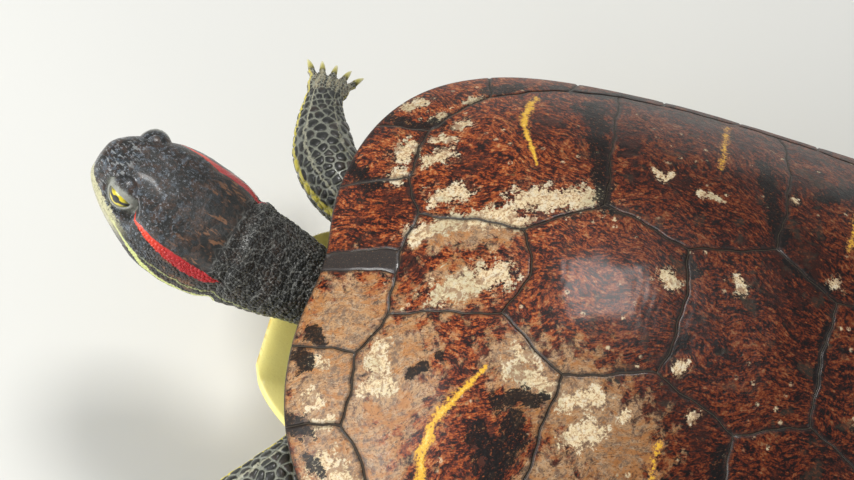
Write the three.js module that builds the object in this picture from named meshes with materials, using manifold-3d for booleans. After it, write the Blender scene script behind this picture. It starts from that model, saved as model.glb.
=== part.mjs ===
// Red-eared slider, life size, swimming with the limbs spread, held on a two-rod display stand.
// Millimetres. The head points along -Y, the animal's left side is +X, +Z is up.
// The shell, the head and the limbs are given in the shell's own heights and lifted by LIFT.
import * as THREE from 'three';
import Module from 'manifold-3d';

const wasm = await Module();
wasm.setup();
const { Manifold, Mesh: ManifoldMesh } = wasm;

// ---- driving sizes -------------------------------------------------------------------------
const LIFT = 45;            // underside of the plastron above the floor
const GAP = 0.3;            // air between neighbouring pieces
const PLATE = 3.4;          // thickness of a shell plate
const WIDEST_Y = 34;        // where the carapace is widest
const HALF_WIDTH = 103;     // carapace half width there
const FRONT_RUN = 149.5;    // from the widest place to the front edge
const REAR_RUN = 96;        // from the widest place to the rear edge
const FRONT_ROUND = [2.9, 3.3];   // squareness of the front half of the outline
const REAR_ROUND = [2.5, 2.5];    // squareness of the rear half
const NOTCH = { depth: 3, wide: 17 };   // the front edge steps back over the neck
const RIDGE_Y = [-116, -101, -90, -60, -35, -10, 20, 41, 64, 86, 110, 130];
const RIDGE_Z = [49, 62.5, 69, 85.5, 91.5, 93.5, 92, 88, 81, 71.5, 57, 39];
const RIM_Y = [-116, -80, -30, 25, 74, 130];
const RIM_Z = [48, 40, 32.5, 31, 33, 38.5];
const SIDE_POWER = 2.3;     // how full the cross section is
const EDGE_POWER = 0.9;     // how steep it falls to the rim
const STAND = { length: 156, width: 100, height: 8, corner: 14, rod: 4, rodY: [-46, 46] };

const COLOURS = {
  carapace: [0x5c2f1c, 0.32], cervical: [0x2b2420, 0.4], plastron: [0xd9b23a, 0.45],
  skin: [0x24261f, 0.55], foot: [0x33352b, 0.55], eye: [0xc2b23a, 0.12],
  stand: [0x3a3d40, 0.45], rod: [0x8c9094, 0.3],
};

// ---- small helpers -------------------------------------------------------------------------
const mix = (a, b, t) => a + (b - a) * t;
const clamp = (v, lo, hi) => Math.min(hi, Math.max(lo, v));
const smooth = (lo, hi, v) => { const t = clamp((v - lo) / (hi - lo), 0, 1); return t * t * (3 - 2 * t); };
const vec = (x, y, z) => new THREE.Vector3(x, y, z);

// Smooth monotone curve through a short table.
function curve(xs, ys) {
  const n = xs.length;
  const d = xs.slice(1).map((x, i) => (ys[i + 1] - ys[i]) / (x - xs[i]));
  const m = xs.map((_, i) => {
    if (i === 0) return d[0];
    if (i === n - 1) return d[n - 2];
    return d[i - 1] * d[i] <= 0 ? 0 : 2 * d[i - 1] * d[i] / (d[i - 1] + d[i]);
  });
  return (x) => {
    const v = clamp(x, xs[0], xs[n - 1]);
    let i = 0;
    while (i < n - 2 && v > xs[i + 1]) i += 1;
    const h = xs[i + 1] - xs[i], t = (v - xs[i]) / h, u = 1 - t;
    return u * u * (1 + 2 * t) * ys[i] + t * t * (3 - 2 * t) * ys[i + 1]
      + h * t * u * (u * m[i] - t * m[i + 1]);
  };
}

// ---- the carapace as a surface -------------------------------------------------------------
const ridge = curve(RIDGE_Y, RIDGE_Z);
const rim = curve(RIM_Y, RIM_Z);

function halfWidth(y) {
  const front = y < WIDEST_Y;
  const t = clamp(Math.abs(y - WIDEST_Y) / (front ? FRONT_RUN : REAR_RUN), 0, 1);
  const [p, q] = front ? FRONT_ROUND : REAR_ROUND;
  return HALF_WIDTH * (1 - t ** p) ** (1 / q);
}

function domeHeight(x, y) {
  const s = clamp(Math.abs(x) / Math.max(halfWidth(y), 1e-6), 0, 1);
  return rim(y) + (ridge(y) - rim(y)) * (1 - s ** SIDE_POWER) ** EDGE_POWER;
}

function domeNormal(x, y) {
  const cy = clamp(y, -113.5, 127.5);
  const cx = Math.sign(x) * Math.min(Math.abs(x), halfWidth(cy) * 0.985);
  const h = 0.6;
  const gx = (domeHeight(cx + h, cy) - domeHeight(cx - h, cy)) / (2 * h);
  const gy = (domeHeight(cx, cy + h) - domeHeight(cx, cy - h)) / (2 * h);
  return vec(-clamp(gx, -2.6, 2.6), -clamp(gy, -2.6, 2.6), 1).normalize();
}

const rimAtX = (x, front) => {
  const [p, q] = front ? FRONT_ROUND : REAR_ROUND;
  const t = (1 - (Math.abs(x) / HALF_WIDTH) ** q) ** (1 / p);
  if (!front) return [x, WIDEST_Y + REAR_RUN * t];
  return [x, WIDEST_Y - FRONT_RUN * t + NOTCH.depth * Math.exp(-((x / NOTCH.wide) ** 2))];
};
const rimAtY = (y) => [halfWidth(y), y];

// ---- seams: corners on the left side; the right side mirrors them ---------------------------
const CORNERS = {
  nf: rimAtX(2.9, true), o12: rimAtX(28.4, true), o23: rimAtX(54, true),
  o34: rimAtY(-78), o45: rimAtY(-49), o56: rimAtY(-20), o67: rimAtY(7), o78: rimAtY(33),
  o89: rimAtY(59), o90: rimAtY(85), o01: rimAtX(71, false), o02: rimAtX(38, false),
  n: [4, -91], a1: [17.4, -89.3], i12: [31, -95], i23: [52, -93], i34: [72, -77],
  i45: [85, -52], k12: [90, -36], i56: [92.5, -21], i67: [95, 3], k23: [95.5, 18],
  i78: [95, 32], i89: [92.5, 56], k34: [88.5, 68], i90: [83, 80], i01: [66, 98.5],
  h: [50, 106], i02: [36, 111],
  b1: [14.7, -58], c1: [29.6, -35.7], d1: [21.2, -8.8], c2: [31.6, 17.9],
  e1: [20.9, 40.4], c3: [29.5, 62], g1: [16, 84.5], r0: [0, 114.5], z0: [0, 130], f0: rimAtX(0, true),
};
// Sideways bow of a seam at its middle, in mm, towards +Y or +X.
const BOW = { 'b1|-b1': 5, 'd1|-d1': 2.5, 'e1|-e1': -1.5, 'g1|-g1': 2, 'c1|k12': -1.5, 'c2|k23': 2 };

const corner = (key) => {
  const [x, y] = CORNERS[key.replace('-', '')];
  return [key.startsWith('-') ? -x : x, y];
};
const onRim = (key) => /^-?(nf|o\d+|z0|f0)$/.test(key);

// Sample points from one corner towards the next; both neighbours get the same points.
function seam(from, to) {
  const a = corner(from), b = corner(to);
  const steps = Math.max(1, Math.round(Math.hypot(b[0] - a[0], b[1] - a[1]) / 16));
  const mirrored = (k) => (k.startsWith('-') ? k.slice(1) : `-${k}`);
  const pairs = [`${from}|${to}`, `${to}|${from}`, `${mirrored(from)}|${mirrored(to)}`,
    `${mirrored(to)}|${mirrored(from)}`];
  const bow = pairs.map((k) => BOW[k]).find((v) => v !== undefined) ?? 0;
  const points = [];
  for (let i = 0; i < steps; i += 1) {
    const t = i / steps, lift = 4 * t * (1 - t) * bow;
    let x = mix(a[0], b[0], t), y = mix(a[1], b[1], t) + lift;
    if (i > 0 && onRim(from) && onRim(to)) {
      if (Math.abs(y - WIDEST_Y) < 80) x = Math.sign(x) * halfWidth(y);
      else [x, y] = rimAtX(x, y < WIDEST_Y);
    }
    points.push([x, y]);
  }
  return points;
}
const loopOf = (keys) => keys.flatMap((key, i) => seam(key, keys[(i + 1) % keys.length]));

// Loops run anticlockwise seen from above.
const mirrorLoop = (keys) => keys.map((k) => (k.startsWith('-') ? k.slice(1) : `-${k}`)).reverse();
const across = (keys) => [...keys, ...keys.slice().reverse().map((k) => `-${k}`)];
const VERTEBRALS = [
  across(['n', 'a1', 'b1']), across(['b1', 'c1', 'd1']), across(['d1', 'c2', 'e1']),
  across(['e1', 'c3', 'g1']),
  ['g1', 'h', 'i02', 'r0', '-i02', '-h', '-g1'],
];
const COSTALS = [
  ['a1', 'i12', 'i23', 'i34', 'i45', 'k12', 'c1', 'b1'], ['c1', 'k12', 'i56', 'i67', 'k23', 'c2', 'd1'],
  ['c2', 'k23', 'i78', 'i89', 'k34', 'c3', 'e1'], ['c3', 'k34', 'i90', 'i01', 'h', 'g1'],
];
const MARGINALS = [
  ['nf', 'o12', 'i12', 'a1', 'n'], ['o12', 'o23', 'i23', 'i12'], ['o23', 'o34', 'i34', 'i23'],
  ['o34', 'o45', 'i45', 'i34'], ['o45', 'o56', 'i56', 'k12', 'i45'], ['o56', 'o67', 'i67', 'i56'],
  ['o67', 'o78', 'i78', 'k23', 'i67'], ['o78', 'o89', 'i89', 'i78'],
  ['o89', 'o90', 'i90', 'k34', 'i89'], ['o90', 'o01', 'i01', 'i90'],
  ['o01', 'o02', 'i02', 'h', 'i01'], ['o02', 'z0', 'r0', 'i02'],
];

// ---- meshes --------------------------------------------------------------------------------
function toGeometry(points, triangles) {
  const volume = triangles.reduce((sum, [a, b, c]) => sum + points[a].dot(points[b].clone().cross(points[c])), 0);
  const faces = volume < 0 ? triangles.map(([a, b, c]) => [a, c, b]) : triangles;
  const geometry = new THREE.BufferGeometry();
  geometry.setAttribute('position', new THREE.Float32BufferAttribute(points.flatMap((p) => [p.x, p.y, p.z]), 3));
  geometry.setIndex(faces.flat());
  return geometry;
}

function area(loop) {
  return loop.reduce((sum, p, i) => {
    const q = loop[(i + 1) % loop.length];
    return sum + (p[0] * q[1] - q[0] * p[1]) / 2;
  }, 0);
}

// The loop moved inwards by d along both neighbouring sides.
function inset(loop, d) {
  const n = loop.length;
  return loop.map((p, i) => {
    const a = loop[(i + n - 1) % n], b = loop[(i + 1) % n];
    const u = new THREE.Vector2(p[0] - a[0], p[1] - a[1]).normalize();
    const v = new THREE.Vector2(b[0] - p[0], b[1] - p[1]).normalize();
    const m = new THREE.Vector2(-u.y - v.y, u.x + v.x);
    const k = d / Math.max(0.4, 1 + u.dot(v)) ;
    return [p[0] + m.x * k, p[1] + m.y * k];
  });
}

// One shell plate: rings from the middle to the seam on the dome, and the same again below.
function plate(keys, rings, crown) {
  let loop = loopOf(keys);
  if (area(loop) < 0) loop = loop.slice().reverse();
  loop = inset(loop, GAP / 2);
  const n = loop.length;
  const mid = loop.reduce((m, p) => [m[0] + p[0] / n, m[1] + p[1] / n], [0, 0]);
  const above = [], below = [];
  const add = (x, y, r) => {
    const top = vec(x, y, domeHeight(x, y)), normal = domeNormal(x, y);
    above.push(top.clone().addScaledVector(normal, crown * (1 - r * r) + (r < 1 ? 0.25 : 0)));
    below.push(top.addScaledVector(normal, -PLATE));
  };
  add(mid[0], mid[1], 0);
  rings.forEach((r) => loop.forEach((p) => add(mix(mid[0], p[0], r), mix(mid[1], p[1], r), r)));
  const count = above.length, faces = [];
  const at = (ring, i) => 1 + ring * n + (i % n);
  for (let i = 0; i < n; i += 1) {
    faces.push([0, at(0, i), at(0, i + 1)], [count, count + at(0, i + 1), count + at(0, i)]);
    for (let k = 1; k < rings.length; k += 1) {
      const a = at(k - 1, i), b = at(k - 1, i + 1), c = at(k, i + 1), d = at(k, i);
      faces.push([a, d, c], [a, c, b], [count + a, count + c, count + d], [count + a, count + b, count + c]);
    }
    const a = at(rings.length - 1, i), b = at(rings.length - 1, i + 1);
    faces.push([a, count + a, count + b], [a, count + b, b]);
  }
  return toGeometry([...above, ...below], faces);
}

// A closed skin over rings of equal count, with a point or a flat fan at each end.
function skinOver(ringList) {
  const n = ringList[0].length, points = ringList.flat(), faces = [];
  const middle = (ring) => ring.reduce((m, p) => m.add(p), vec(0, 0, 0)).divideScalar(n);
  for (let k = 0; k + 1 < ringList.length; k += 1) {
    for (let i = 0; i < n; i += 1) {
      const a = k * n + i, b = k * n + (i + 1) % n;
      faces.push([a, b, b + n], [a, b + n, a + n]);
    }
  }
  const first = points.length, last = (ringList.length - 1) * n;
  points.push(middle(ringList[0]), middle(ringList[ringList.length - 1]));
  for (let i = 0; i < n; i += 1) {
    const j = (i + 1) % n;
    faces.push([first, j, i], [first + 1, last + i, last + j]);
  }
  return toGeometry(points, faces);
}

// Ring of a cross section. `right` and `up` span it; half width, height above and depth below.
function ring(centre, right, up, wide, above, below, n, power = 2) {
  const points = [];
  for (let i = 0; i < n; i += 1) {
    const a = (2 * Math.PI * i) / n, c = Math.cos(a), s = Math.sin(a);
    const u = Math.sign(c) * Math.abs(c) ** (2 / power) * wide;
    const v = Math.sign(s) * Math.abs(s) ** (2 / power) * (s > 0 ? above : below);
    points.push(centre.clone().addScaledVector(right, u).addScaledVector(up, v));
  }
  return points;
}

// A limb or neck through stations [x, y, z, half width, half thickness].
function limb(stations, n, grow = 0, tilt = vec(0, 0, 1)) {
  const centres = stations.map((s) => vec(s[0], s[1], s[2]));
  const rings = centres.map((c, i) => {
    const along = centres[Math.min(i + 1, centres.length - 1)].clone()
      .sub(centres[Math.max(i - 1, 0)]).normalize();
    const right = along.clone().cross(tilt).normalize();
    const up = right.clone().cross(along).normalize();
    return ring(c, right, up, stations[i][3] + grow, stations[i][4] + grow, stations[i][4] + grow, n);
  });
  return skinOver(rings);
}

// ---- joining and cutting -------------------------------------------------------------------
function solid(geometry) {
  const made = new ManifoldMesh({
    numProp: 3,
    vertProperties: new Float32Array(geometry.getAttribute('position').array),
    triVerts: new Uint32Array(geometry.getIndex().array),
  });
  made.merge();
  return new Manifold(made);
}

function fromSolid(body) {
  const mesh = body.getMesh();
  const points = [];
  for (let i = 0; i < mesh.vertProperties.length; i += mesh.numProp) {
    points.push(vec(mesh.vertProperties[i], mesh.vertProperties[i + 1], mesh.vertProperties[i + 2]));
  }
  const faces = [];
  for (let i = 0; i < mesh.triVerts.length; i += 3) faces.push([...mesh.triVerts.slice(i, i + 3)]);
  return toGeometry(points, faces);
}

const joined = (...geometries) => Manifold.union(geometries.map(solid));

const ball = (centre, radius, wide = 14, high = 8) => {
  const sphere = new THREE.SphereGeometry(radius, wide, high);
  sphere.deleteAttribute('normal');
  sphere.deleteAttribute('uv');
  return sphere.translate(centre.x, centre.y, centre.z);
};

// ---- plastron with its bridges -------------------------------------------------------------
const PLASTRON_Y = [-123, -120.5, -115, -104, -88, -68, -57, -47, -38, -10, 20, 38, 48, 58, 72, 89, 101, 107];
const PLASTRON_W = [20, 26, 32, 39, 48, 55, 62, 84, 95, 99, 99.5, 96, 86, 64, 58, 51, 38, 24];
const PLASTRON_THICK = 4.6;

function plastronUnder(x, y) {
  const bridge = (rim(y) - 6.2) * clamp((Math.abs(x) - 55) / 45, 0, 1) ** 1.6;
  const curl = 4 * smooth(-96, -123, y) + 3 * smooth(86, 107, y);
  return Math.max(bridge, 0) + curl;
}

function plastron() {
  const slices = [-1, -0.9, -0.78, -0.58, 0, 0.58, 0.78, 0.9, 1];
  const rows = PLASTRON_Y.map((y, j) => {
    const rowEnd = j === PLASTRON_Y.length - 1;
    const low = slices.map((s) => {
      const x = s * PLASTRON_W[j], notch = rowEnd ? 5 * (1 - Math.abs(s)) : 0;
      return vec(x, y - notch, plastronUnder(x, y));
    });
    return [...low, ...low.map((p) => p.clone().add(vec(0, 0, PLASTRON_THICK))).reverse()];
  });
  return skinOver(rows);
}

// ---- trunk: the flesh that fills the shell --------------------------------------------------
const TRUNK = { wide: 84, front: -101, rear: 112, power: 2.7 };

function trunkOutline(angle, scale) {
  const c = Math.cos(angle), s = Math.sin(angle), p = 2 / TRUNK.power;
  const y = s < 0 ? -TRUNK.front : TRUNK.rear;
  return [Math.sign(c) * Math.abs(c) ** p * TRUNK.wide * scale, Math.sign(s) * Math.abs(s) ** p * y * scale];
}

function trunk(holes) {
  const n = 22;
  const above = (x, y) => {
    const normal = domeNormal(x, y);
    return vec(x, y, domeHeight(x, y)).addScaledVector(normal, -PLATE - 1.6);
  };
  const floor = (x, y) => 6 + plastronUnder(x, y) + 3.5 * smooth(40, 66, Math.abs(x));
  const ringOf = (scale, place) => Array.from({ length: n }, (_, i) => {
    const [x, y] = trunkOutline((2 * Math.PI * i) / n, scale);
    return place(x, y);
  });
  const low = (x, y) => vec(x, y, floor(x, y));
  const rings = [
    ringOf(0.4, low), ringOf(0.7, low), ringOf(0.96, low),
    ringOf(1, (x, y) => vec(x, y, mix(floor(x, y), above(x, y).z, 0.4))),
    ringOf(0.985, above), ringOf(0.8, above), ringOf(0.5, above),
  ];
  return holes.reduce((body, hole) => body.subtract(solid(hole)), solid(skinOver(rings)));
}

// ---- head, jaw and eyes, in the head's own frame -------------------------------------------
const HEAD = {
  eyes: vec(-9.9, -174.8, 56), yaw: 13.5, pitch: 11, roll: 13, eyeAside: 10, eyeUp: 0.4, eyeRadius: 5.2,
  jawHinge: -14, mouthHinge: -10.5, mouthFront: -8.2,
};
// Forward of the eyes, half width, height above, depth below.
const HEAD_STATIONS = [
  [-38, 18.4, 7.4, 22.4], [-31, 20.6, 8.4, 24.6], [-23, 21.6, 8.8, 25.6], [-15, 21.0, 9.0, 25.2],
  [-8, 19.2, 8.9, 23.4], [-2, 16.8, 8.4, 21.2], [3, 14.4, 7.0, 19.0], [7, 11.6, 5.0, 17.0],
  [10.4, 8.4, 2.8, 14.8], [12.8, 5.0, 0.6, 12.0],
];

const headFrame = (() => {
  const yaw = THREE.MathUtils.degToRad(HEAD.yaw), pitch = THREE.MathUtils.degToRad(HEAD.pitch);
  const roll = THREE.MathUtils.degToRad(HEAD.roll);
  const level = vec(-Math.sin(yaw), -Math.cos(yaw), 0), side = vec(Math.cos(yaw), -Math.sin(yaw), 0);
  const forward = level.clone().multiplyScalar(Math.cos(pitch)).add(vec(0, 0, Math.sin(pitch)));
  const upright = level.clone().multiplyScalar(-Math.sin(pitch)).add(vec(0, 0, Math.cos(pitch)));
  const left = side.clone().multiplyScalar(Math.cos(roll)).addScaledVector(upright, Math.sin(roll));
  const up = side.clone().multiplyScalar(-Math.sin(roll)).addScaledVector(upright, Math.cos(roll));
  return { forward, left, up };
})();
const inHead = (u, v, w) => HEAD.eyes.clone().addScaledVector(headFrame.forward, u)
  .addScaledVector(headFrame.left, v).addScaledVector(headFrame.up, w);

function jawPrism(push) {
  const side = [
    [HEAD.jawHinge + push, HEAD.mouthHinge - push], [30, HEAD.mouthFront + 1.2 - push],
    [30, -40], [HEAD.jawHinge - 6 + push, -40],
  ];
  const ringAt = (v) => side.map(([u, w]) => inHead(u, v, w));
  return skinOver([ringAt(-40), ringAt(40)]);
}

function headPieces() {
  const n = 20;
  const rings = HEAD_STATIONS.map(([u, wide, above, below]) => {
    const middle = (above - below) * 0.4;
    return ring(inHead(u, 0, middle), headFrame.left, headFrame.up, wide, above - middle, below + middle, n, 2.25);
  });
  const whole = solid(skinOver(rings));
  const eyes = [1, -1].map((side) => inHead(0, side * HEAD.eyeAside, HEAD.eyeUp));
  const sockets = eyes.map((c) => solid(ball(c, HEAD.eyeRadius + GAP)));
  const head = whole.subtract(sockets[0]).subtract(sockets[1]).subtract(solid(jawPrism(0)));
  const jaw = whole.intersect(solid(jawPrism(GAP)));
  return { head, jaw, eyes };
}

// ---- neck, legs, feet and tail -------------------------------------------------------------
const neckEnd = inHead(-38 - GAP, 0, -7.4);
const NECK = [
  [0, -84, 31, 12.5, 10.5], [0, -98, 31.6, 13, 10.6], [-0.2, -112, 32.4, 13.4, 10.6],
  [-0.5, -121, 35.2, 15.2, 11.4],
];

const neckStart = (grow) => NECK.map(([x, y, z, wide, thick], i) => {
  const up = vec(0, i > 1 ? 0.22 : 0.08, 1).normalize();
  return ring(vec(x, y, z), vec(1, 0, 0), up, wide + grow, thick + grow, thick + grow, 20, 2.1);
});

function neck() {
  const last = NECK[NECK.length - 1];
  const end = [[0.5, 17, 13.2], [1, 18, 14.4]].map(([t, wide, thick]) => {
    const centre = vec(last[0], last[1], last[2]).lerp(neckEnd, t);
    const right = vec(1, 0, 0).lerp(headFrame.left, t).normalize();
    const up = vec(0, 0.22, 1).normalize().lerp(headFrame.up, t).normalize();
    return ring(centre, right, up, wide, thick, thick, 20, 2.1);
  });
  return skinOver([...neckStart(0), ...end]);
}

// Stations [x, y, z, half width, half thickness] from inside the trunk to the wrist or ankle.
const LEGS = {
  foreleg_right: [[-27, -90, 28, 10.5, 9.5], [-34, -104, 28, 11.2, 9.5], [-41, -115, 27.5, 11.2, 9],
    [-49.5, -122.2, 26, 10.6, 7.8], [-58, -125, 24, 9.2, 6.4], [-66, -126.6, 21.8, 7.4, 5.2], [-71.5, -127, 20.4, 6.4, 4.6]],
  foreleg_left: [[34, -84, 27, 10.5, 9.5], [46, -93.5, 27.5, 11.2, 9.5], [57.5, -101, 27.5, 11.2, 9],
    [69, -110, 26, 10.6, 7.8], [78.5, -119.5, 23.5, 9.4, 6.4], [86, -128.5, 21, 7.6, 5.2], [90, -134, 19.4, 6.6, 4.6]],
  hindleg_left: [[46, 80, 24, 13, 10.5], [59, 93, 23, 13.4, 10], [72, 104, 20.5, 12.8, 9],
    [80, 115, 18.5, 11.2, 7.8], [85, 126, 16.5, 9.4, 6.2], [88, 135, 14.8, 8.6, 5]],
  hindleg_right: [[-48, 78, 24, 13, 10.5], [-64, 88, 22.5, 13.4, 10], [-80, 95, 20, 12.8, 9],
    [-91, 103, 18, 11.2, 7.8], [-99, 112, 16, 9.4, 6.2], [-104, 120, 14.5, 8.6, 5]],
};
// Foot: heading in plan, droop, palm length and half width, toe count, toe length, claw length.
const FEET = {
  forefoot_right: { leg: 'foreleg_right', heading: 178, droop: 15, palm: 7.5, wide: 7.2, toes: 5, toe: 5.5, claw: 5, spread: 15 },
  forefoot_left: { leg: 'foreleg_left', heading: -50, droop: 15, palm: 7.5, wide: 7.2, toes: 5, toe: 5.5, claw: 5, spread: 15 },
  hindfoot_left: { leg: 'hindleg_left', heading: 66, droop: 10, palm: 15, wide: 11.5, toes: 4, toe: 12, claw: 6.5, spread: 15 },
  hindfoot_right: { leg: 'hindleg_right', heading: 127, droop: 10, palm: 15, wide: 11.5, toes: 4, toe: 12, claw: 6.5, spread: 15 },
};

function foot(spec) {
  const stations = LEGS[spec.leg];
  const [x, y, z, legWide, legThick] = stations[stations.length - 1];
  const before = stations[stations.length - 2];
  const along = vec(x - before[0], y - before[1], z - before[2]).normalize();
  const start = vec(x, y, z).addScaledVector(along, GAP);
  const droop = THREE.MathUtils.degToRad(spec.droop);
  const headingOf = (deg) => {
    const a = THREE.MathUtils.degToRad(deg);
    return vec(Math.cos(a) * Math.cos(droop), Math.sin(a) * Math.cos(droop), -Math.sin(droop));
  };
  const main = headingOf(spec.heading);
  const knuckle = start.clone().addScaledVector(main, spec.palm);
  const station = (p, wide, thick) => [p.x, p.y, p.z, wide, thick];
  const flatStart = start.clone().addScaledVector(along, 0.01);
  const palm = limb([
    station(start, legWide, legThick), station(flatStart.clone().addScaledVector(along, 1.5), legWide, legThick * 0.95),
    station(start.clone().lerp(knuckle, 0.6), spec.wide * 0.98, 3.9),
    station(knuckle, spec.wide, 3.2), station(knuckle.clone().addScaledVector(main, spec.toe * 0.45), spec.wide * 0.96, 1.5),
    station(knuckle.clone().addScaledVector(main, spec.toe * 0.8), spec.wide * 0.8, 0.6),
  ], 14);
  const pieces = [palm];
  const side = main.clone().cross(vec(0, 0, 1)).normalize();
  for (let i = 0; i < spec.toes; i += 1) {
    const t = (i - (spec.toes - 1) / 2) / ((spec.toes - 1) / 2);
    const dir = headingOf(spec.heading - t * spec.spread * (spec.toes - 1) / 2);
    const root = start.clone().lerp(knuckle, 0.72).addScaledVector(side, t * (spec.wide - 2.6));
    const reach = spec.toe * (1 - 0.22 * t * t) + spec.palm * 0.28;
    const mid = root.clone().addScaledVector(dir, reach * 0.55);
    const tip = root.clone().addScaledVector(dir, reach);
    const hook = tip.clone().addScaledVector(dir, spec.claw * 0.6).add(vec(0, 0, -0.5));
    const end = tip.clone().addScaledVector(dir, spec.claw).add(vec(0, 0, -1.9));
    pieces.push(limb([station(root, 1.9, 2.2), station(mid, 1.95, 2.1), station(tip, 1.5, 1.6),
      station(hook, 0.85, 0.9), station(end, 0.3, 0.3)], 6));
  }
  return joined(...pieces);
}

const TAIL = [[0, 102, 24, 9, 8.5], [1, 114, 23, 7.4, 7], [3, 125, 21, 5.6, 5.2], [6.5, 136, 18.4, 3.8, 3.5],
  [11, 146, 16.4, 2.2, 2.0], [14.5, 152, 15.6, 0.8, 0.8]];

// ---- stand ---------------------------------------------------------------------------------
function standBase() {
  const { length, width, height, corner: radius } = STAND;
  const outline = [];
  [[1, 1], [-1, 1], [-1, -1], [1, -1]].forEach(([sx, sy], q) => {
    for (let i = 0; i <= 5; i += 1) {
      const a = (q * 90 + i * 18) * Math.PI / 180;
      outline.push([sx * (width / 2 - radius) + radius * Math.cos(a), sy * (length / 2 - radius) + radius * Math.sin(a)]);
    }
  });
  const level = (z, shrink) => outline.map(([x, y]) => vec(x * (1 - shrink / (width / 2)), y * (1 - shrink / (length / 2)), z));
  return skinOver([level(0, 0), level(height - 1.5, 0), level(height, 1.5)]);
}

function standRod(y) {
  const level = (z) => ring(vec(0, y, z), vec(1, 0, 0), vec(0, 1, 0), STAND.rod, STAND.rod, STAND.rod, 16);
  return skinOver([level(STAND.height + GAP), level(LIFT - GAP)]);
}

// ---- assembly ------------------------------------------------------------------------------
const group = new THREE.Group();
function put(name, geometry, look, lift = LIFT) {
  const [colour, roughness] = COLOURS[look];
  const material = new THREE.MeshStandardMaterial({ color: colour, roughness, metalness: look === 'rod' ? 0.9 : 0 });
  const finished = geometry instanceof Manifold ? fromSolid(geometry) : geometry;
  finished.translate(0, 0, lift);
  finished.computeVertexNormals();
  const mesh = new THREE.Mesh(finished, material);
  mesh.name = name;
  group.add(mesh);
}

const WIDE_PLATE = [0.52, 1], EDGE_PLATE = [0.55, 1];
put('cervical', plate(['n', '-n', '-nf', 'f0', 'nf'], EDGE_PLATE, 0), 'cervical');
VERTEBRALS.forEach((keys, i) => put(`vertebral_${i + 1}`, plate(keys, WIDE_PLATE, 0.5), 'carapace'));
COSTALS.forEach((keys, i) => {
  put(`costal_left_${i + 1}`, plate(keys, WIDE_PLATE, 0.6), 'carapace');
  put(`costal_right_${i + 1}`, plate(mirrorLoop(keys), WIDE_PLATE, 0.6), 'carapace');
});
MARGINALS.forEach((keys, i) => {
  put(`marginal_left_${i + 1}`, plate(keys, EDGE_PLATE, 0.2), 'carapace');
  put(`marginal_right_${i + 1}`, plate(mirrorLoop(keys), EDGE_PLATE, 0.2), 'carapace');
});
put('plastron', plastron(), 'plastron');

const holes = [skinOver(neckStart(0.5)), ...Object.values(LEGS).map((s) => limb(s, 16, 0.5)), limb(TAIL, 10, 0.5)];
put('trunk', trunk(holes), 'skin');
const { head, jaw, eyes } = headPieces();
put('head', head, 'skin');
put('lower_jaw', jaw, 'skin');
put('eye_left', ball(eyes[0], HEAD.eyeRadius), 'eye');
put('eye_right', ball(eyes[1], HEAD.eyeRadius), 'eye');
put('neck', neck(), 'skin');
Object.entries(LEGS).forEach(([name, stations]) => put(name, limb(stations, 16), 'skin'));
Object.entries(FEET).forEach(([name, spec]) => put(name, foot(spec), 'foot'));
put('tail', limb(TAIL, 10), 'skin');
put('stand_base', standBase(), 'stand', 0);
STAND.rodY.forEach((y, i) => put(i ? 'stand_rod_rear' : 'stand_rod_front', standRod(y), 'rod', 0));

export default group;
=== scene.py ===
"""Red-eared slider, life size, on a two-rod stand: shell plates, one skin with scales, eyes and claws."""

import math

import bmesh
import bpy
import numpy as np
from bpy.props import FloatProperty, FloatVectorProperty, IntProperty, PointerProperty
from mathutils import Matrix, Vector
from mathutils.bvhtree import BVHTree
from mathutils.kdtree import KDTree


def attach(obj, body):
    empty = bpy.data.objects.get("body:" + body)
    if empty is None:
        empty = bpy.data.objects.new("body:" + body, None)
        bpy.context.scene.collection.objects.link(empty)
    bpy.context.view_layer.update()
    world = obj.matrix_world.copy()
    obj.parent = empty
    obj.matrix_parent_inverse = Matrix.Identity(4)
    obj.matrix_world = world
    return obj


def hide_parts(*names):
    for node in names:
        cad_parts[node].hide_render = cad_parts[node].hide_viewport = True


bl_info = {
    "name": "Red-Eared Slider Model",
    "version": (1, 0, 0),
    "blender": (4, 5, 0),
    "location": "3D View > Sidebar > Slider Turtle",
    "description": "Builds the shell, skin, scales, eyes and claws of a life-size slider on its stand",
    "category": "Object",
}

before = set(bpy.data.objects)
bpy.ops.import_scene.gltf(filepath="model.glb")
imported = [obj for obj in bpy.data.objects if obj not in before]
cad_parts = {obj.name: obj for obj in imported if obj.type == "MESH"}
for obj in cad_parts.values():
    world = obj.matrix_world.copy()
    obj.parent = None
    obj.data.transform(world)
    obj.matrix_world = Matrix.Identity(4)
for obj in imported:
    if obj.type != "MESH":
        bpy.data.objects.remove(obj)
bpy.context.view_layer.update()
MM = 0.001
LIFT = 45.0


def paint(code):
    """Linear colour of a six-letter paint code."""
    parts = [int(code[i : i + 2], 16) / 255 for i in (0, 2, 4)]
    return tuple(c / 12.92 if c <= 0.04045 else ((c + 0.055) / 1.055) ** 2.4 for c in parts)


def swatch(label, note, code):
    return FloatVectorProperty(name=label, description=note, default=paint(code), size=3, min=0, max=1,
                               subtype="COLOR")


def length(label, note, value, low, high):
    return FloatProperty(name=label, description=note, default=value, min=low, max=high, unit="LENGTH")


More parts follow.
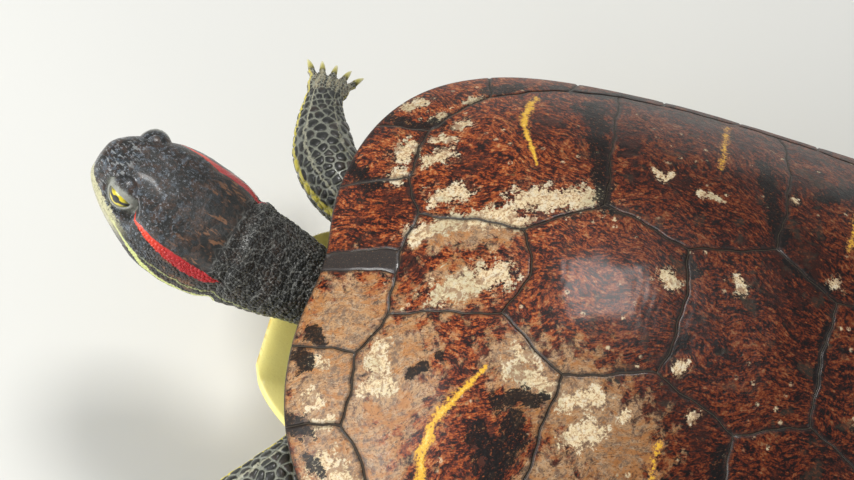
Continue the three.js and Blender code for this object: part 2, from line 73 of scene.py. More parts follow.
# ---- settings ------------------------------------------------------------------------------
class ShellSettings(bpy.types.PropertyGroup):
    step: length("Plate mesh step", "Spacing of the mesh along a seam", 0.0014, 0.0008, 0.004)
    rings: IntProperty(name="Plate rings", description="Mesh rings from the middle of a plate to its seam",
                       default=46, min=12, max=90)
    groove: length("Seam depth", "How far a plate's edge rolls down into the seam", 0.00036, 0.0, 0.002)
    roll: length("Seam roll", "Width of the rolled edge", 0.00065, 0.0003, 0.003)
    growth: length("Growth rings", "Height of the growth rings", 0.000008, 0.0, 0.0005)
    ground: swatch("Ground", "Reddish brown of the horn", "6c2e1b")
    deep: swatch("Deep", "Dark maroon between the fibres", "33120c")
    fibre: swatch("Fibres", "Orange brown fibres that run along each plate", "a14e20")
    tan: swatch("Tan", "Dry tan of the front left plates", "b8926a")
    worn: swatch("Worn", "Cream of the worn patches", "dfcda6")
    black: swatch("Blotch", "Black blotches", "0c0a0a")
    bar: swatch("Bar", "Yellow bars", "dfae33")
    seam: swatch("Seam", "Seam between plates", "2a221f")
    cervical: swatch("Cervical", "Dark grey of the small plate over the neck", "2c2622")


class BellySettings(bpy.types.PropertyGroup):
    yellow: swatch("Yellow", "Ground of the plastron", "f0c832")
    pale: swatch("Pale yellow", "Paler middle of the plastron", "e8d27a")
    smudge: swatch("Smudge", "Dark marks of the plastron", "2a2014")


class SkinSettings(bpy.types.PropertyGroup):
    depth: length("Coat depth", "How far the skin lies inside the solid flesh", 0.0005, 0.0, 0.002)
    dark: swatch("Dark", "Near black of the scales", "191a18")
    brown: swatch("Brown", "Brown mottling of the crown", "4a3426")
    # painted sheen: the grey blue of the crown stands for the gloss of the wet skin
    blue: swatch("Grey blue", "Grey blue bloom of the crown", "56616c")
    net: swatch("Net", "Pale grey skin between the scales", "8d8f82")
    yellow: swatch("Yellow", "Yellow stripes", "e2d24a")
    lime: swatch("Pale yellow", "Pale stripes of jaw and neck", "d3d98a")
    red: swatch("Red", "Rear of the ear stripe", "a80f17")
    orange: swatch("Orange red", "Front of the ear stripe", "e8401c")
    belly: swatch("Underside", "Yellow olive underside", "a99a45")
    foot: swatch("Foot", "Whitish tan on top of the feet", "b3a98a")


class CoatSettings(bpy.types.PropertyGroup):
    arm: length("Arm scale", "Largest scales, on the forearms", 0.0036, 0.0015, 0.006)
    neck: length("Neck scale", "Scales of the neck", 0.0016, 0.001, 0.004)
    face: length("Face scale", "Smallest scales, on the face", 0.0012, 0.0006, 0.003)
    groove: FloatProperty(name="Groove", description="Share of a scale's width left as groove", default=0.12,
                          min=0.02, max=0.4, subtype="FACTOR")
    height: FloatProperty(name="Height", description="Height of a scale as a share of its width",
                          default=0.12, min=0.02, max=0.4, subtype="FACTOR")
    relax: IntProperty(name="Evenness", description="Passes that even out the scales",
                       default=6, min=0, max=20)


class EyeSettings(bpy.types.PropertyGroup):
    iris: swatch("Iris", "Yellow of the iris", "d8c522")
    rim: swatch("Iris rim", "Olive towards the rim of the iris", "6f6a16")
    pupil: swatch("Pupil", "Pupil and the dark bar through the eye", "060605")
    claw: swatch("Claw", "Yellow olive of the claws", "b5ac52")
    claw_tip: swatch("Claw tip", "Tip of the claws", "e2dc9b")


class StageSettings(bpy.types.PropertyGroup):
    floor: swatch("Floor", "Plain pale floor", "dcdcd8")
    plate: swatch("Stand plate", "Satin paint of the stand's plate", "2f3234")
    steel: swatch("Stand rods", "Brushed steel of the rods", "a3a6a8")
    key: FloatProperty(name="Key light", description="Strength of the large soft light", default=12.0, min=0,
                       unit="POWER")
    lens: FloatProperty(name="Lens", description="Focal length", default=135, min=20, max=300, unit="CAMERA")


# ---- shape of the carapace, in millimetres --------------------------------------------------
GAP, PLATE = 0.06, 3.4
WIDEST_Y, HALF_WIDTH, FRONT_RUN, REAR_RUN = 34.0, 103.0, 149.5, 96.0
FRONT_ROUND, REAR_ROUND = (2.9, 3.3), (2.5, 2.5)
NOTCH_DEPTH, NOTCH_WIDE = 3.0, 17.0


def clamp(value):
    return np.clip(value, 0, 1)


def columns(*parts):
    """One row for each point, from one list for each column."""
    return np.stack(parts, axis=1)


def curve(xs, ys):
    """Smooth curve through a short table that never overshoots it."""
    xs, ys = np.array(xs, float), np.array(ys, float)
    step = np.diff(ys) / np.maximum(np.diff(xs), 1e-9)
    both = step[:-1] * step[1:]
    inner = np.where(both > 0, 2 * both / np.where(both > 0, step[:-1] + step[1:], 1), 0)
    slope = np.concatenate([step[:1], inner, step[-1:]])

    def at(x):
        v = np.clip(x, xs[0], xs[-1])
        i = np.clip(np.searchsorted(xs, v, side="right") - 1, 0, len(xs) - 2)
        h = xs[i + 1] - xs[i]
        t = (v - xs[i]) / h
        u = 1 - t
        return (u * u * (1 + 2 * t) * ys[i] + t * t * (3 - 2 * t) * ys[i + 1]
                + h * t * u * (u * slope[i] - t * slope[i + 1]))

    return at


def ease(low, high, value):
    t = clamp((value - low) / (high - low))
    return t * t * (3 - 2 * t)


def bell(value, width, centre=0):
    return np.exp(-(((value - centre) / width) ** 2))


ridge = curve([-116, -101, -90, -60, -35, -10, 20, 41, 64, 86, 110, 130],
              [49, 62.5, 69, 85.5, 91.5, 93.5, 92, 88, 81, 71.5, 57, 39])
rim = curve([-116, -80, -30, 25, 74, 130], [48, 40, 32.5, 31, 33, 38.5])


def half_width(y):
    front = y < WIDEST_Y
    t = clamp(np.abs(y - WIDEST_Y) / np.where(front, FRONT_RUN, REAR_RUN))
    p = np.where(front, FRONT_ROUND[0], REAR_ROUND[0])
    q = np.where(front, FRONT_ROUND[1], REAR_ROUND[1])
    return HALF_WIDTH * (1 - t**p) ** (1 / q)


def dome(x, y):
    s = clamp(np.abs(x) / np.maximum(half_width(y), 1e-6))
    return rim(y) + (ridge(y) - rim(y)) * (1 - s**2.3) ** 0.9


def dome_normal(x, y):
    cy = np.clip(y, -113.5, 127.5)
    cx = np.sign(x) * np.minimum(np.abs(x), half_width(cy) * 0.985)
    h = 0.6
    gx = np.clip((dome(cx + h, cy) - dome(cx - h, cy)) / (2 * h), -2.6, 2.6)
    gy = np.clip((dome(cx, cy + h) - dome(cx, cy - h)) / (2 * h), -2.6, 2.6)
    normal = np.stack([-gx, -gy, np.ones_like(gx)], axis=-1)
    return normal / np.linalg.norm(normal, axis=-1, keepdims=True)


def rim_at_x(x, front):
    p, q = FRONT_ROUND if front else REAR_ROUND
    t = (1 - (abs(x) / HALF_WIDTH) ** q) ** (1 / p)
    if not front:
        return x, WIDEST_Y + REAR_RUN * t
    return x, WIDEST_Y - FRONT_RUN * t + NOTCH_DEPTH * math.exp(-((x / NOTCH_WIDE) ** 2))


def rim_at_y(y):
    return float(half_width(np.float64(y))), y


# Seam corners of the left side; a leading minus mirrors one.
CORNERS = {
    "nf": rim_at_x(2.9, True), "o12": rim_at_x(28.4, True), "o23": rim_at_x(54, True),
    "o34": rim_at_y(-78), "o45": rim_at_y(-49), "o56": rim_at_y(-20), "o67": rim_at_y(7), "o78": rim_at_y(33),
    "o89": rim_at_y(59), "o90": rim_at_y(85), "o01": rim_at_x(71, False), "o02": rim_at_x(38, False),
    "n": (4, -91), "a1": (17.4, -89.3), "i12": (31, -95), "i23": (52, -93), "i34": (72, -77),
    "i45": (85, -52), "k12": (90, -36), "i56": (92.5, -21), "i67": (95, 3), "k23": (95.5, 18),
    "i78": (95, 32), "i89": (92.5, 56), "k34": (88.5, 68), "i90": (83, 80), "i01": (66, 98.5),
    "h": (50, 106), "i02": (36, 111), "b1": (14.7, -58), "c1": (29.6, -35.7), "d1": (21.2, -8.8),
    "c2": (31.6, 17.9), "e1": (20.9, 40.4), "c3": (29.5, 62), "g1": (16, 84.5), "r0": (0, 114.5),
    "z0": (0, 130), "f0": rim_at_x(0, True),
}
BOW = {"b1|-b1": 5, "d1|-d1": 2.5, "e1|-e1": -1.5, "g1|-g1": 2, "c1|k12": -1.5, "c2|k23": 2}
VERTEBRALS = ["n a1 b1 -b1 -a1 -n", "b1 c1 d1 -d1 -c1 -b1", "d1 c2 e1 -e1 -c2 -d1", "e1 c3 g1 -g1 -c3 -e1",
              "g1 h i02 r0 -i02 -h -g1"]
COSTALS = ["a1 i12 i23 i34 i45 k12 c1 b1", "c1 k12 i56 i67 k23 c2 d1", "c2 k23 i78 i89 k34 c3 e1",
           "c3 k34 i90 i01 h g1"]
MARGINALS = [
    "nf o12 i12 a1 n", "o12 o23 i23 i12", "o23 o34 i34 i23", "o34 o45 i45 i34", "o45 o56 i56 k12 i45",
    "o56 o67 i67 i56", "o67 o78 i78 k23 i67", "o78 o89 i89 i78", "o89 o90 i90 k34 i89", "o90 o01 i01 i90",
    "o01 o02 i02 h i01", "o02 z0 r0 i02",
]


def flipped(key):
    return key[1:] if key.startswith("-") else "-" + key


def mirrored(keys):
    return [flipped(k) for k in keys][::-1]


def corner(key):
    x, y = CORNERS[key.lstrip("-")]
    return (-x if key.startswith("-") else x), y


def on_rim(key):
    name = key.lstrip("-")
    return name in ("nf", "f0", "z0") or name.startswith("o")


def sway(x, y):
    """Slight natural wander of the seams, gone at the rim."""
    fade = 1 - ease(0.9, 0.99, np.abs(x) / np.maximum(half_width(y), 1e-6))
    fade = fade * (1 - ease(110, 125, y)) * ease(-112, -100, y)
    dx = 0.42 * np.sin(0.29 * y + 0.05 * x + 1.0) + 0.2 * np.sin(0.83 * y + 2.0)
    dy = 0.42 * np.sin(0.33 * x + 0.04 * y + 4.0) + 0.2 * np.sin(0.91 * x + 0.7)
    return x + dx * fade, y + dy * fade


def seam_line(start, end, step):
    a, b = np.array(corner(start)), np.array(corner(end))
    count = max(2, round(float(np.linalg.norm(b - a)) / step))
    ends = [(start, end), (end, start), (flipped(start), flipped(end)), (flipped(end), flipped(start))]
    pairs = [f"{one}|{other}" for one, other in ends]
    bow = next((BOW[p] for p in pairs if p in BOW), 0)
    t = np.arange(count) / count
    x, y = a[0] + (b[0] - a[0]) * t, a[1] + (b[1] - a[1]) * t + 4 * t * (1 - t) * bow
    if on_rim(start) and on_rim(end):
        middle = float(abs((a[1] + b[1]) / 2 - WIDEST_Y)) < 80
        if middle:
            x = np.sign(x) * half_width(y)
        else:
            y = np.array([rim_at_x(v, a[1] < WIDEST_Y)[1] for v in x])
    return columns(x, y)


def plate_loop(keys, step):
    """Outline of a plate, anticlockwise from above, drawn in by half a seam."""
    loop = np.concatenate([seam_line(k, keys[(i + 1) % len(keys)], step) for i, k in enumerate(keys)])
    x, y = sway(loop[:, 0], loop[:, 1])
    loop = columns(x, y)
    nxt, prev = np.roll(loop, -1, axis=0), np.roll(loop, 1, axis=0)
    if np.sum(loop[:, 0] * nxt[:, 1] - nxt[:, 0] * loop[:, 1]) < 0:
        loop = loop[::-1].copy()
        nxt, prev = np.roll(loop, -1, axis=0), np.roll(loop, 1, axis=0)
    lead = nxt - prev
    lead = lead / np.maximum(np.linalg.norm(lead, axis=1, keepdims=True), 1e-9)
    inward = columns(-lead[:, 1], lead[:, 0])
    return loop + inward * (GAP / 2)


def edge_distance(points, loop):
    """Distance of each point from an outline, in blocks to keep memory small."""
    a, b = loop, np.roll(loop, -1, axis=0)
    ab = b - a
    span = np.maximum(np.sum(ab * ab, axis=1), 1e-12)
    best = np.empty(len(points))
    for i in range(0, len(points), 2000):
        p = points[i : i + 2000, None, :]
        t = clamp(np.sum((p - a) * ab, axis=2) / span)
        best[i : i + 2000] = np.sqrt(np.min(np.sum((p - a - ab * t[..., None]) ** 2, axis=2), axis=1))
    return best


def roughly(x, y, scale, seed):
    """Cheap smooth unevenness between -1 and 1."""
    x, y = x / scale, y / scale
    return (np.sin(x * 1.7 + y * 0.6 + seed) + np.sin(y * 2.1 - x * 0.9 + seed * 1.7)
            + np.sin(x * 3.1 + y * 2.3 + seed * 2.3) * 0.6 + np.sin(y * 4.3 - x * 2.9 + seed * 0.6) * 0.4) / 3


# Marks of the carapace: the points of a line, then its half width, in mm from above.
BARS = [
    [(-33, -116.6), (-38.4, -115.3), (-43.3, -114.3), (-46.1, -113), 0.7],
    [(-18.7, -116), (-24, -117), 1.1], [(-74, -62.6), (-64.6, -65.1), (-57, -65), 1.25],
    [(-57, -65), (-52.7, -63.6), (-46.3, -60.9), 0.8], [(-46.3, -60.9), (-40, -58.7), 0.5],
    [(31, -57.5), (36, -60), 0.7], [(36, -60), (43, -64.4), 1.1],
    [(43, -64.4), (49.4, -67.6), (56.4, -68.3), (66, -66.2), (82, -63), 1.6],
]
FAINT_BARS = [
    [(-88, -0.4), (-74, -2), (-58, -2.6), 1.3], [(40, -3), (58, -1.5), (84, 0.5), 1.6],
    [(42, 41), (60, 43), (82, 45), 1.5], [(-42, 41), (-60, 43), (-82, 45), 1.3], [(40, 80), (62, 86), 1.3],
    [(-40, 80), (-62, 86), 1.2],
]
WORN = [
    [(-9.5, -88), (-14, -80), (-16.6, -70), (-16.5, -60), 3.4], [(10, -76), (6, -69), (2, -61), 4.6],
    [(-25, -60), (-27.5, -50), (-31, -40), 4.6], [(-17.7, -71.1), (-20, -64), 2.4],
    [(-53.8, -84.3), (-56, -82), 2.0], [(-47.6, -89.3), (-48, -85), 1.9], [(-38.7, -90), (-41, -86), 3.2],
    [(-39.8, -98.7), (-44, -97), 3.0], [(-32.8, -97.5), (-30, -99), 2.4], [(-23.8, -84.7), (-26, -79), 3.4],
    [(-56.4, -91.4), (-59, -90), 2.0], [(-67.3, -82.7), (-70, -80), 1.7], [(-9.5, -12.2), (-8, -10.5), 2.2],
    [(17.3, -2.8), 2.4], [(30.3, 4.8), 1.9], [(-15.7, 8.3), (-13, 9.5), 2.0], [(-55.5, 21.3), 1.6],
    [(-27.5, 38.4), 2.2], [(30.7, -51.4), (32.5, -44.3), (33.5, -38.8), 3.0], [(24.5, -50), (27, -45), 2.4],
    [(28.2, -89), (35.3, -88.2), 3.0], [(40.8, -88.7), (39.7, -83.8), 3.2], [(33.4, -106), (35, -104), 1.8],
    [(44.6, -104.1), (47, -103), 2.4], [(52.8, -100.5), (52, -97), 2.2], [(63.7, -96.1), (67, -88), 4.0],
    [(36.7, -33), (33, -24), 3.0], [(46, -28), (42, -22), 3.4], [(36, -15), 2.0],
    [(-62, -101), (-66, -97), 2.2], [(62, 30), (70, 36), 2.2], [(14, 55), 2.0], [(-20, 70), (-24, 73), 2.0],
    [(48, 88), 2.0], [(-78, 60), (-80, 66), 2.2], [(-50, 74), 1.6], [(-48.4, -23.1), (-45.2, -19.6), 1.3],
    [(-48.6, -17.7), (-45.2, -19.6), 1.1], [(-44.1, -8.6), (-44.2, -2.3), 1.4],
    [(-10.5, -14.5), (-7, -12), 1.6],
]
BLOTS = [
    [(-76, -44.5), (-62, -42.4), (-50, -40.9), (-38, -38.4), (-30, -36.2), 2.7],
    [(-66, -40), (-72, -50), 1.6], [(-68, 11), (-56, 13), (-44, 16.5), (-36, 19.5), 2.6],
    [(40.2, -52.7), (38.4, -46), (37.4, -40), 2.0], [(44.6, -46), (49, -43.5), 3.0],
    [(49.9, -54.4), (53, -51), (55, -45), 2.8], [(57.2, -47.2), (68, -44), (80, -45), 3.6],
    [(35.7, -77.7), (34, -75), 1.7], [(30.2, -70.9), 1.4], [(-40, -116), (-31, -108), (-27, -104), 2.0],
    [(-75.2, -77.2), (-81, -69), 2.4], [(-85.5, -56), (-87, -43), (-95, -30), 2.3],
    [(-18, -8), (-14, -5), 1.6], [(-58, -107), (-53, -96), (-55, -90), 2.0],
    [(23.8, -110.3), (27, -107), 2.1], [(32, -111), (35, -108), 2.3], [(52.1, -107.9), (55, -103), 2.2],
    [(-28, 22), (-24, 36), 1.5], [(8, -3), (14, -6), 1.2], [(-60, 30), (-70, 40), 2.0],
    [(38, 16), (60, 17), (84, 19), 2.2], [(40, 66), (60, 67), (80, 66), 2.2],
    [(-38, 66), (-58, 67), (-80, 66), 2.2], [(-12, 38), (8, 39), 1.4], [(-8, 83), (9, 84), 1.6],
    [(62, -100), (66, -95), 1.4], [(78, -76), (84, -70), 1.9], [(92, -30), (94, -24), 1.8],
]
DRY = [
    [(20, -102), (34, -102), (50, -98), (66, -86), 15], [(30, -84), (44, -82), 12],
    [(28, -50), (34, -44), 9], [(34, -34), (40, -24), (46, -14), 13], [(76, -64), (86, -46), 9],
    [(60, -30), (80, -20), 10], [(-10, -82), (-14, -64), 6], [(8, -72), 8],
]


def mark_field(x, y, marks):
    """1 in the middle of a mark, 0.5 on its edge, falling to 0 outside."""
    best = np.zeros_like(x)
    for *line, half in marks:
        points = [np.array(p, float) for p in line]
        if len(points) == 1:
            points = points * 2
        for a, b in zip(points[:-1], points[1:]):
            ab = b - a
            t = clamp(((x - a[0]) * ab[0] + (y - a[1]) * ab[1]) / max(ab @ ab, 1e-9))
            d = np.hypot(x - a[0] - ab[0] * t, y - a[1] - ab[1] * t)
            wide = half * (1 + 0.22 * np.sin(0.55 * x + 0.8 * y) + 0.18 * np.sin(1.1 * y - 0.7 * x))
            best = np.maximum(best, clamp(1 - 0.5 * d / wide))
    return best


# ---- meshes ----------------------------------------------------------------------------------
def store(mesh, name, values):
    """Writes one number or three numbers for each vertex."""
    values = np.asarray(values, np.float32)
    if values.ndim == 1:
        mesh.attributes.new(name, "FLOAT", "POINT").data.foreach_set("value", values)
    else:
        mesh.attributes.new(name, "FLOAT_VECTOR", "POINT").data.foreach_set("vector", values.ravel())


def positions(mesh):
    flat = np.empty(len(mesh.vertices) * 3)
    mesh.vertices.foreach_get("co", flat)
    return flat.reshape(-1, 3)


def read(mesh, name, width):
    data = mesh.attributes[name].data
    values = np.empty(len(data) * width, np.float32)
    data.foreach_get("value" if width == 1 else "vector", values)
    return values if width == 1 else values.reshape(-1, width)


def tree_of(points):
    tree = KDTree(len(points))
    for i, p in enumerate(points):
        tree.insert(p, i)
    tree.balance()
    return tree


def grown(name, shape, bake=False, **sizes):
    """A mesh made by one of bmesh's own shapes, with a bake map if it's asked for."""
    bm = bmesh.new()
    if bake:
        bm.loops.layers.uv.new("OFBake")
    shape(bm, **sizes)
    mesh = bpy.data.meshes.new(name)
    bm.to_mesh(mesh)
    bm.free()
    return mesh


def close_up(mesh):
    """Joins vertices that lie together and turns the faces outwards."""
    bm = bmesh.new()
    bm.from_mesh(mesh)
    bmesh.ops.remove_doubles(bm, verts=bm.verts, dist=1e-4)
    bmesh.ops.recalc_face_normals(bm, faces=bm.faces)
    if bm.calc_volume(signed=True) < 0:
        bmesh.ops.reverse_faces(bm, faces=bm.faces)
    bm.to_mesh(mesh)
    bm.free()
    return mesh


def bent_grid(name, around, along, place, unwrap=None):
    """A grid bent into a closed body; place(u, v) gives points and what to store on them.
    unwrap is the corner and size of the grid's own place on the bake map."""
    mesh = grown(name, bmesh.ops.create_grid, bool(unwrap), x_segments=around, y_segments=along, size=0.5,
                 calc_uvs=bool(unwrap))
    flat = positions(mesh) + 0.5
    points, stored = place(np.round(flat[:, 0] * around) / around, np.round(flat[:, 1] * along) / along)
    mesh.vertices.foreach_set("co", points.astype(np.float32).ravel())
    for key, values in stored.items():
        store(mesh, key, values)
    if unwrap:
        left, low, wide, high = unwrap
        uv = np.empty(len(mesh.loops) * 2, np.float32)
        mesh.uv_layers["OFBake"].data.foreach_get("uv", uv)
        uv = uv.reshape(-1, 2) * (wide, high) + (left, low)
        mesh.uv_layers["OFBake"].data.foreach_set("uv", uv.astype(np.float32).ravel())
    return close_up(mesh)


def show(mesh, materials, replaced=()):
    """Puts a finished millimetre mesh into the scene, in the frame's metres, riding on the body."""
    mesh.transform(Matrix.Translation((0, 0, LIFT * MM)) @ Matrix.Scale(MM, 4))
    mesh.shade_smooth()
    thing = bpy.data.objects.new(mesh.name, mesh)
    bpy.context.scene.collection.objects.link(thing)
    for material in materials:
        mesh.materials.append(material)
    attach(thing, "root")
    if replaced:
        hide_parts(*replaced)
    return thing


# ---- materials -------------------------------------------------------------------------------
class Flow:
    """One output of a material's nodes; arithmetic on it adds the nodes it needs."""

    def __init__(self, finish, socket):
        self.finish, self.socket = finish, socket

    def math(self, operation, a, b=None, c=None):
        values = {i: v for i, v in enumerate((a, b, c)) if v is not None}
        return self.finish.node("ShaderNodeMath", {"operation": operation}, values)

    def __abs__(self):
        return self.math("ABSOLUTE", self)

    def max(self, other):
        return self.math("MAXIMUM", self, other)

    def step(self, low, high):
        """0 below low, 1 above high, eased between; low may be the larger."""
        return self.finish.node("ShaderNodeMapRange", {"interpolation_type": "SMOOTHSTEP", "clamp": True},
                                {0: self, 1: low, 2: high})

    def ramp(self, points):
        """A broken line through (value, result) points."""
        low, high = points[0][0], points[-1][0]
        top = max(abs(r) for _, r in points) or 1
        if any(r < 0 for _, r in points):
            raise ValueError("a ramp holds no negative results")
        stops = [((v - low) / (high - low), (r / top,) * 3) for v, r in points]
        share = (self - low) / (high - low)
        return self.finish.node("ShaderNodeValToRGB", {"stops": stops}, {0: share}) * top

    def band(self, centre, half, soft):
        """1 where this value lies within half of centre."""
        return (abs(self - centre) - half).step(soft, -soft)


def arithmetic(operation):
    """The methods of Flow for one kind of sum, with the Flow first and with it last."""
    return (lambda flow, other: flow.math(operation, flow, other),
            lambda flow, other: flow.math(operation, other, flow))


for word, operation in {"add": "ADD", "sub": "SUBTRACT", "mul": "MULTIPLY", "truediv": "DIVIDE",
                        "pow": "POWER"}.items():
    first, last = arithmetic(operation)
    setattr(Flow, f"__{word}__", first)
    setattr(Flow, f"__r{word}__", last)


class Finish:
    """A material and the ways of adding to it."""

    def __init__(self, name):
        self.material = bpy.data.materials.new(name)
        self.material.use_nodes = True
        self.tree = self.material.node_tree
        self.tree.nodes.clear()
        self.place = self.node("ShaderNodeTexCoord", out="Object")
        self.mm = self.node("ShaderNodeVectorMath", {"operation": "SCALE"}, {0: self.place, "Scale": 1000.0})

    def node(self, kind, settings=None, sockets=None, out=0):
        made = self.tree.nodes.new(kind)
        for key, value in (settings or {}).items():
            if key == "stops":
                stops = made.color_ramp.elements
                while len(stops) < len(value):
                    stops.new(0.5)
                for stop, (where, colour) in zip(stops, value):
                    stop.position = min(max(where, 0), 1)
                    stop.color = (*colour[:3], 1)
            else:
                setattr(made, key, value)
        for key, value in (sockets or {}).items():
            target = made.inputs[key]
            if isinstance(value, Flow):
                self.tree.links.new(value.socket, target)
            else:
                colour = hasattr(value, "__len__") and len(value) == 3 and len(target.default_value) == 4
                target.default_value = (*value, 1) if colour else value
        return Flow(self, made.outputs[out])

    def stored(self, name, vector=False):
        return self.node("ShaderNodeAttribute", {"attribute_name": name}, out="Vector" if vector else "Fac")

    def split(self, flow):
        made = self.node("ShaderNodeSeparateXYZ", None, {0: flow}).socket.node
        return [Flow(self, made.outputs[i]) for i in range(3)]

    def join(self, x, y, z):
        return self.node("ShaderNodeCombineXYZ", None, {0: x, 1: y, 2: z})

    def noise(self, where, scale, detail=3.0, rough=0.55, bend=0.0):
        return self.node("ShaderNodeTexNoise", None, {"Vector": where, "Scale": scale, "Detail": detail,
                                                      "Roughness": rough, "Distortion": bend})

    def cells(self, where, scale, feature="F1"):
        return self.node("ShaderNodeTexVoronoi", {"feature": feature}, {"Vector": where, "Scale": scale})

    def mix(self, share, a, b):
        """Colour a where share is 0, b where it is 1."""
        settings = {"data_type": "RGBA", "clamp_factor": True}
        return self.node("ShaderNodeMix", settings, {0: share, 6: a, 7: b}, out=2)

    def layers(self, colour, over):
        """A colour and others over it, each laid on as far as its share goes."""
        for share, top in over:
            colour = self.mix(share, colour, top)
        return colour

    def palette(self, value, stops):
        """Colours at rising values, blended between."""
        low, high = stops[0][0], stops[-1][0]
        placed = [((v - low) / (high - low), colour) for v, colour in stops]
        return self.node("ShaderNodeValToRGB", {"stops": placed}, {0: (value - low) / (high - low)})

    def dim(self, share, colour, factor):
        """Colour multiplied by factor as far as share goes."""
        settings = {"data_type": "RGBA", "blend_type": "MULTIPLY", "clamp_factor": True}
        return self.node("ShaderNodeMix", settings, {0: share, 6: colour, 7: factor}, out=2)

    def bump(self, height, strength, distance, under=None):
        sockets = {"Height": height, "Strength": strength, "Distance": distance}
        if under:
            sockets["Normal"] = under
        return self.node("ShaderNodeBump", None, sockets)

    def finish(self, colour, roughness, normal=None, **constants):
        values = {"Base Color": colour, "Roughness": roughness}
        if normal:
            values["Normal"] = normal
        values.update({key.replace("_", " "): value for key, value in constants.items()})
        surface = self.node("ShaderNodeBsdfPrincipled", None, values)
        output = self.tree.nodes.new("ShaderNodeOutputMaterial")
        self.tree.links.new(surface.socket, output.inputs[0])
        return self.material


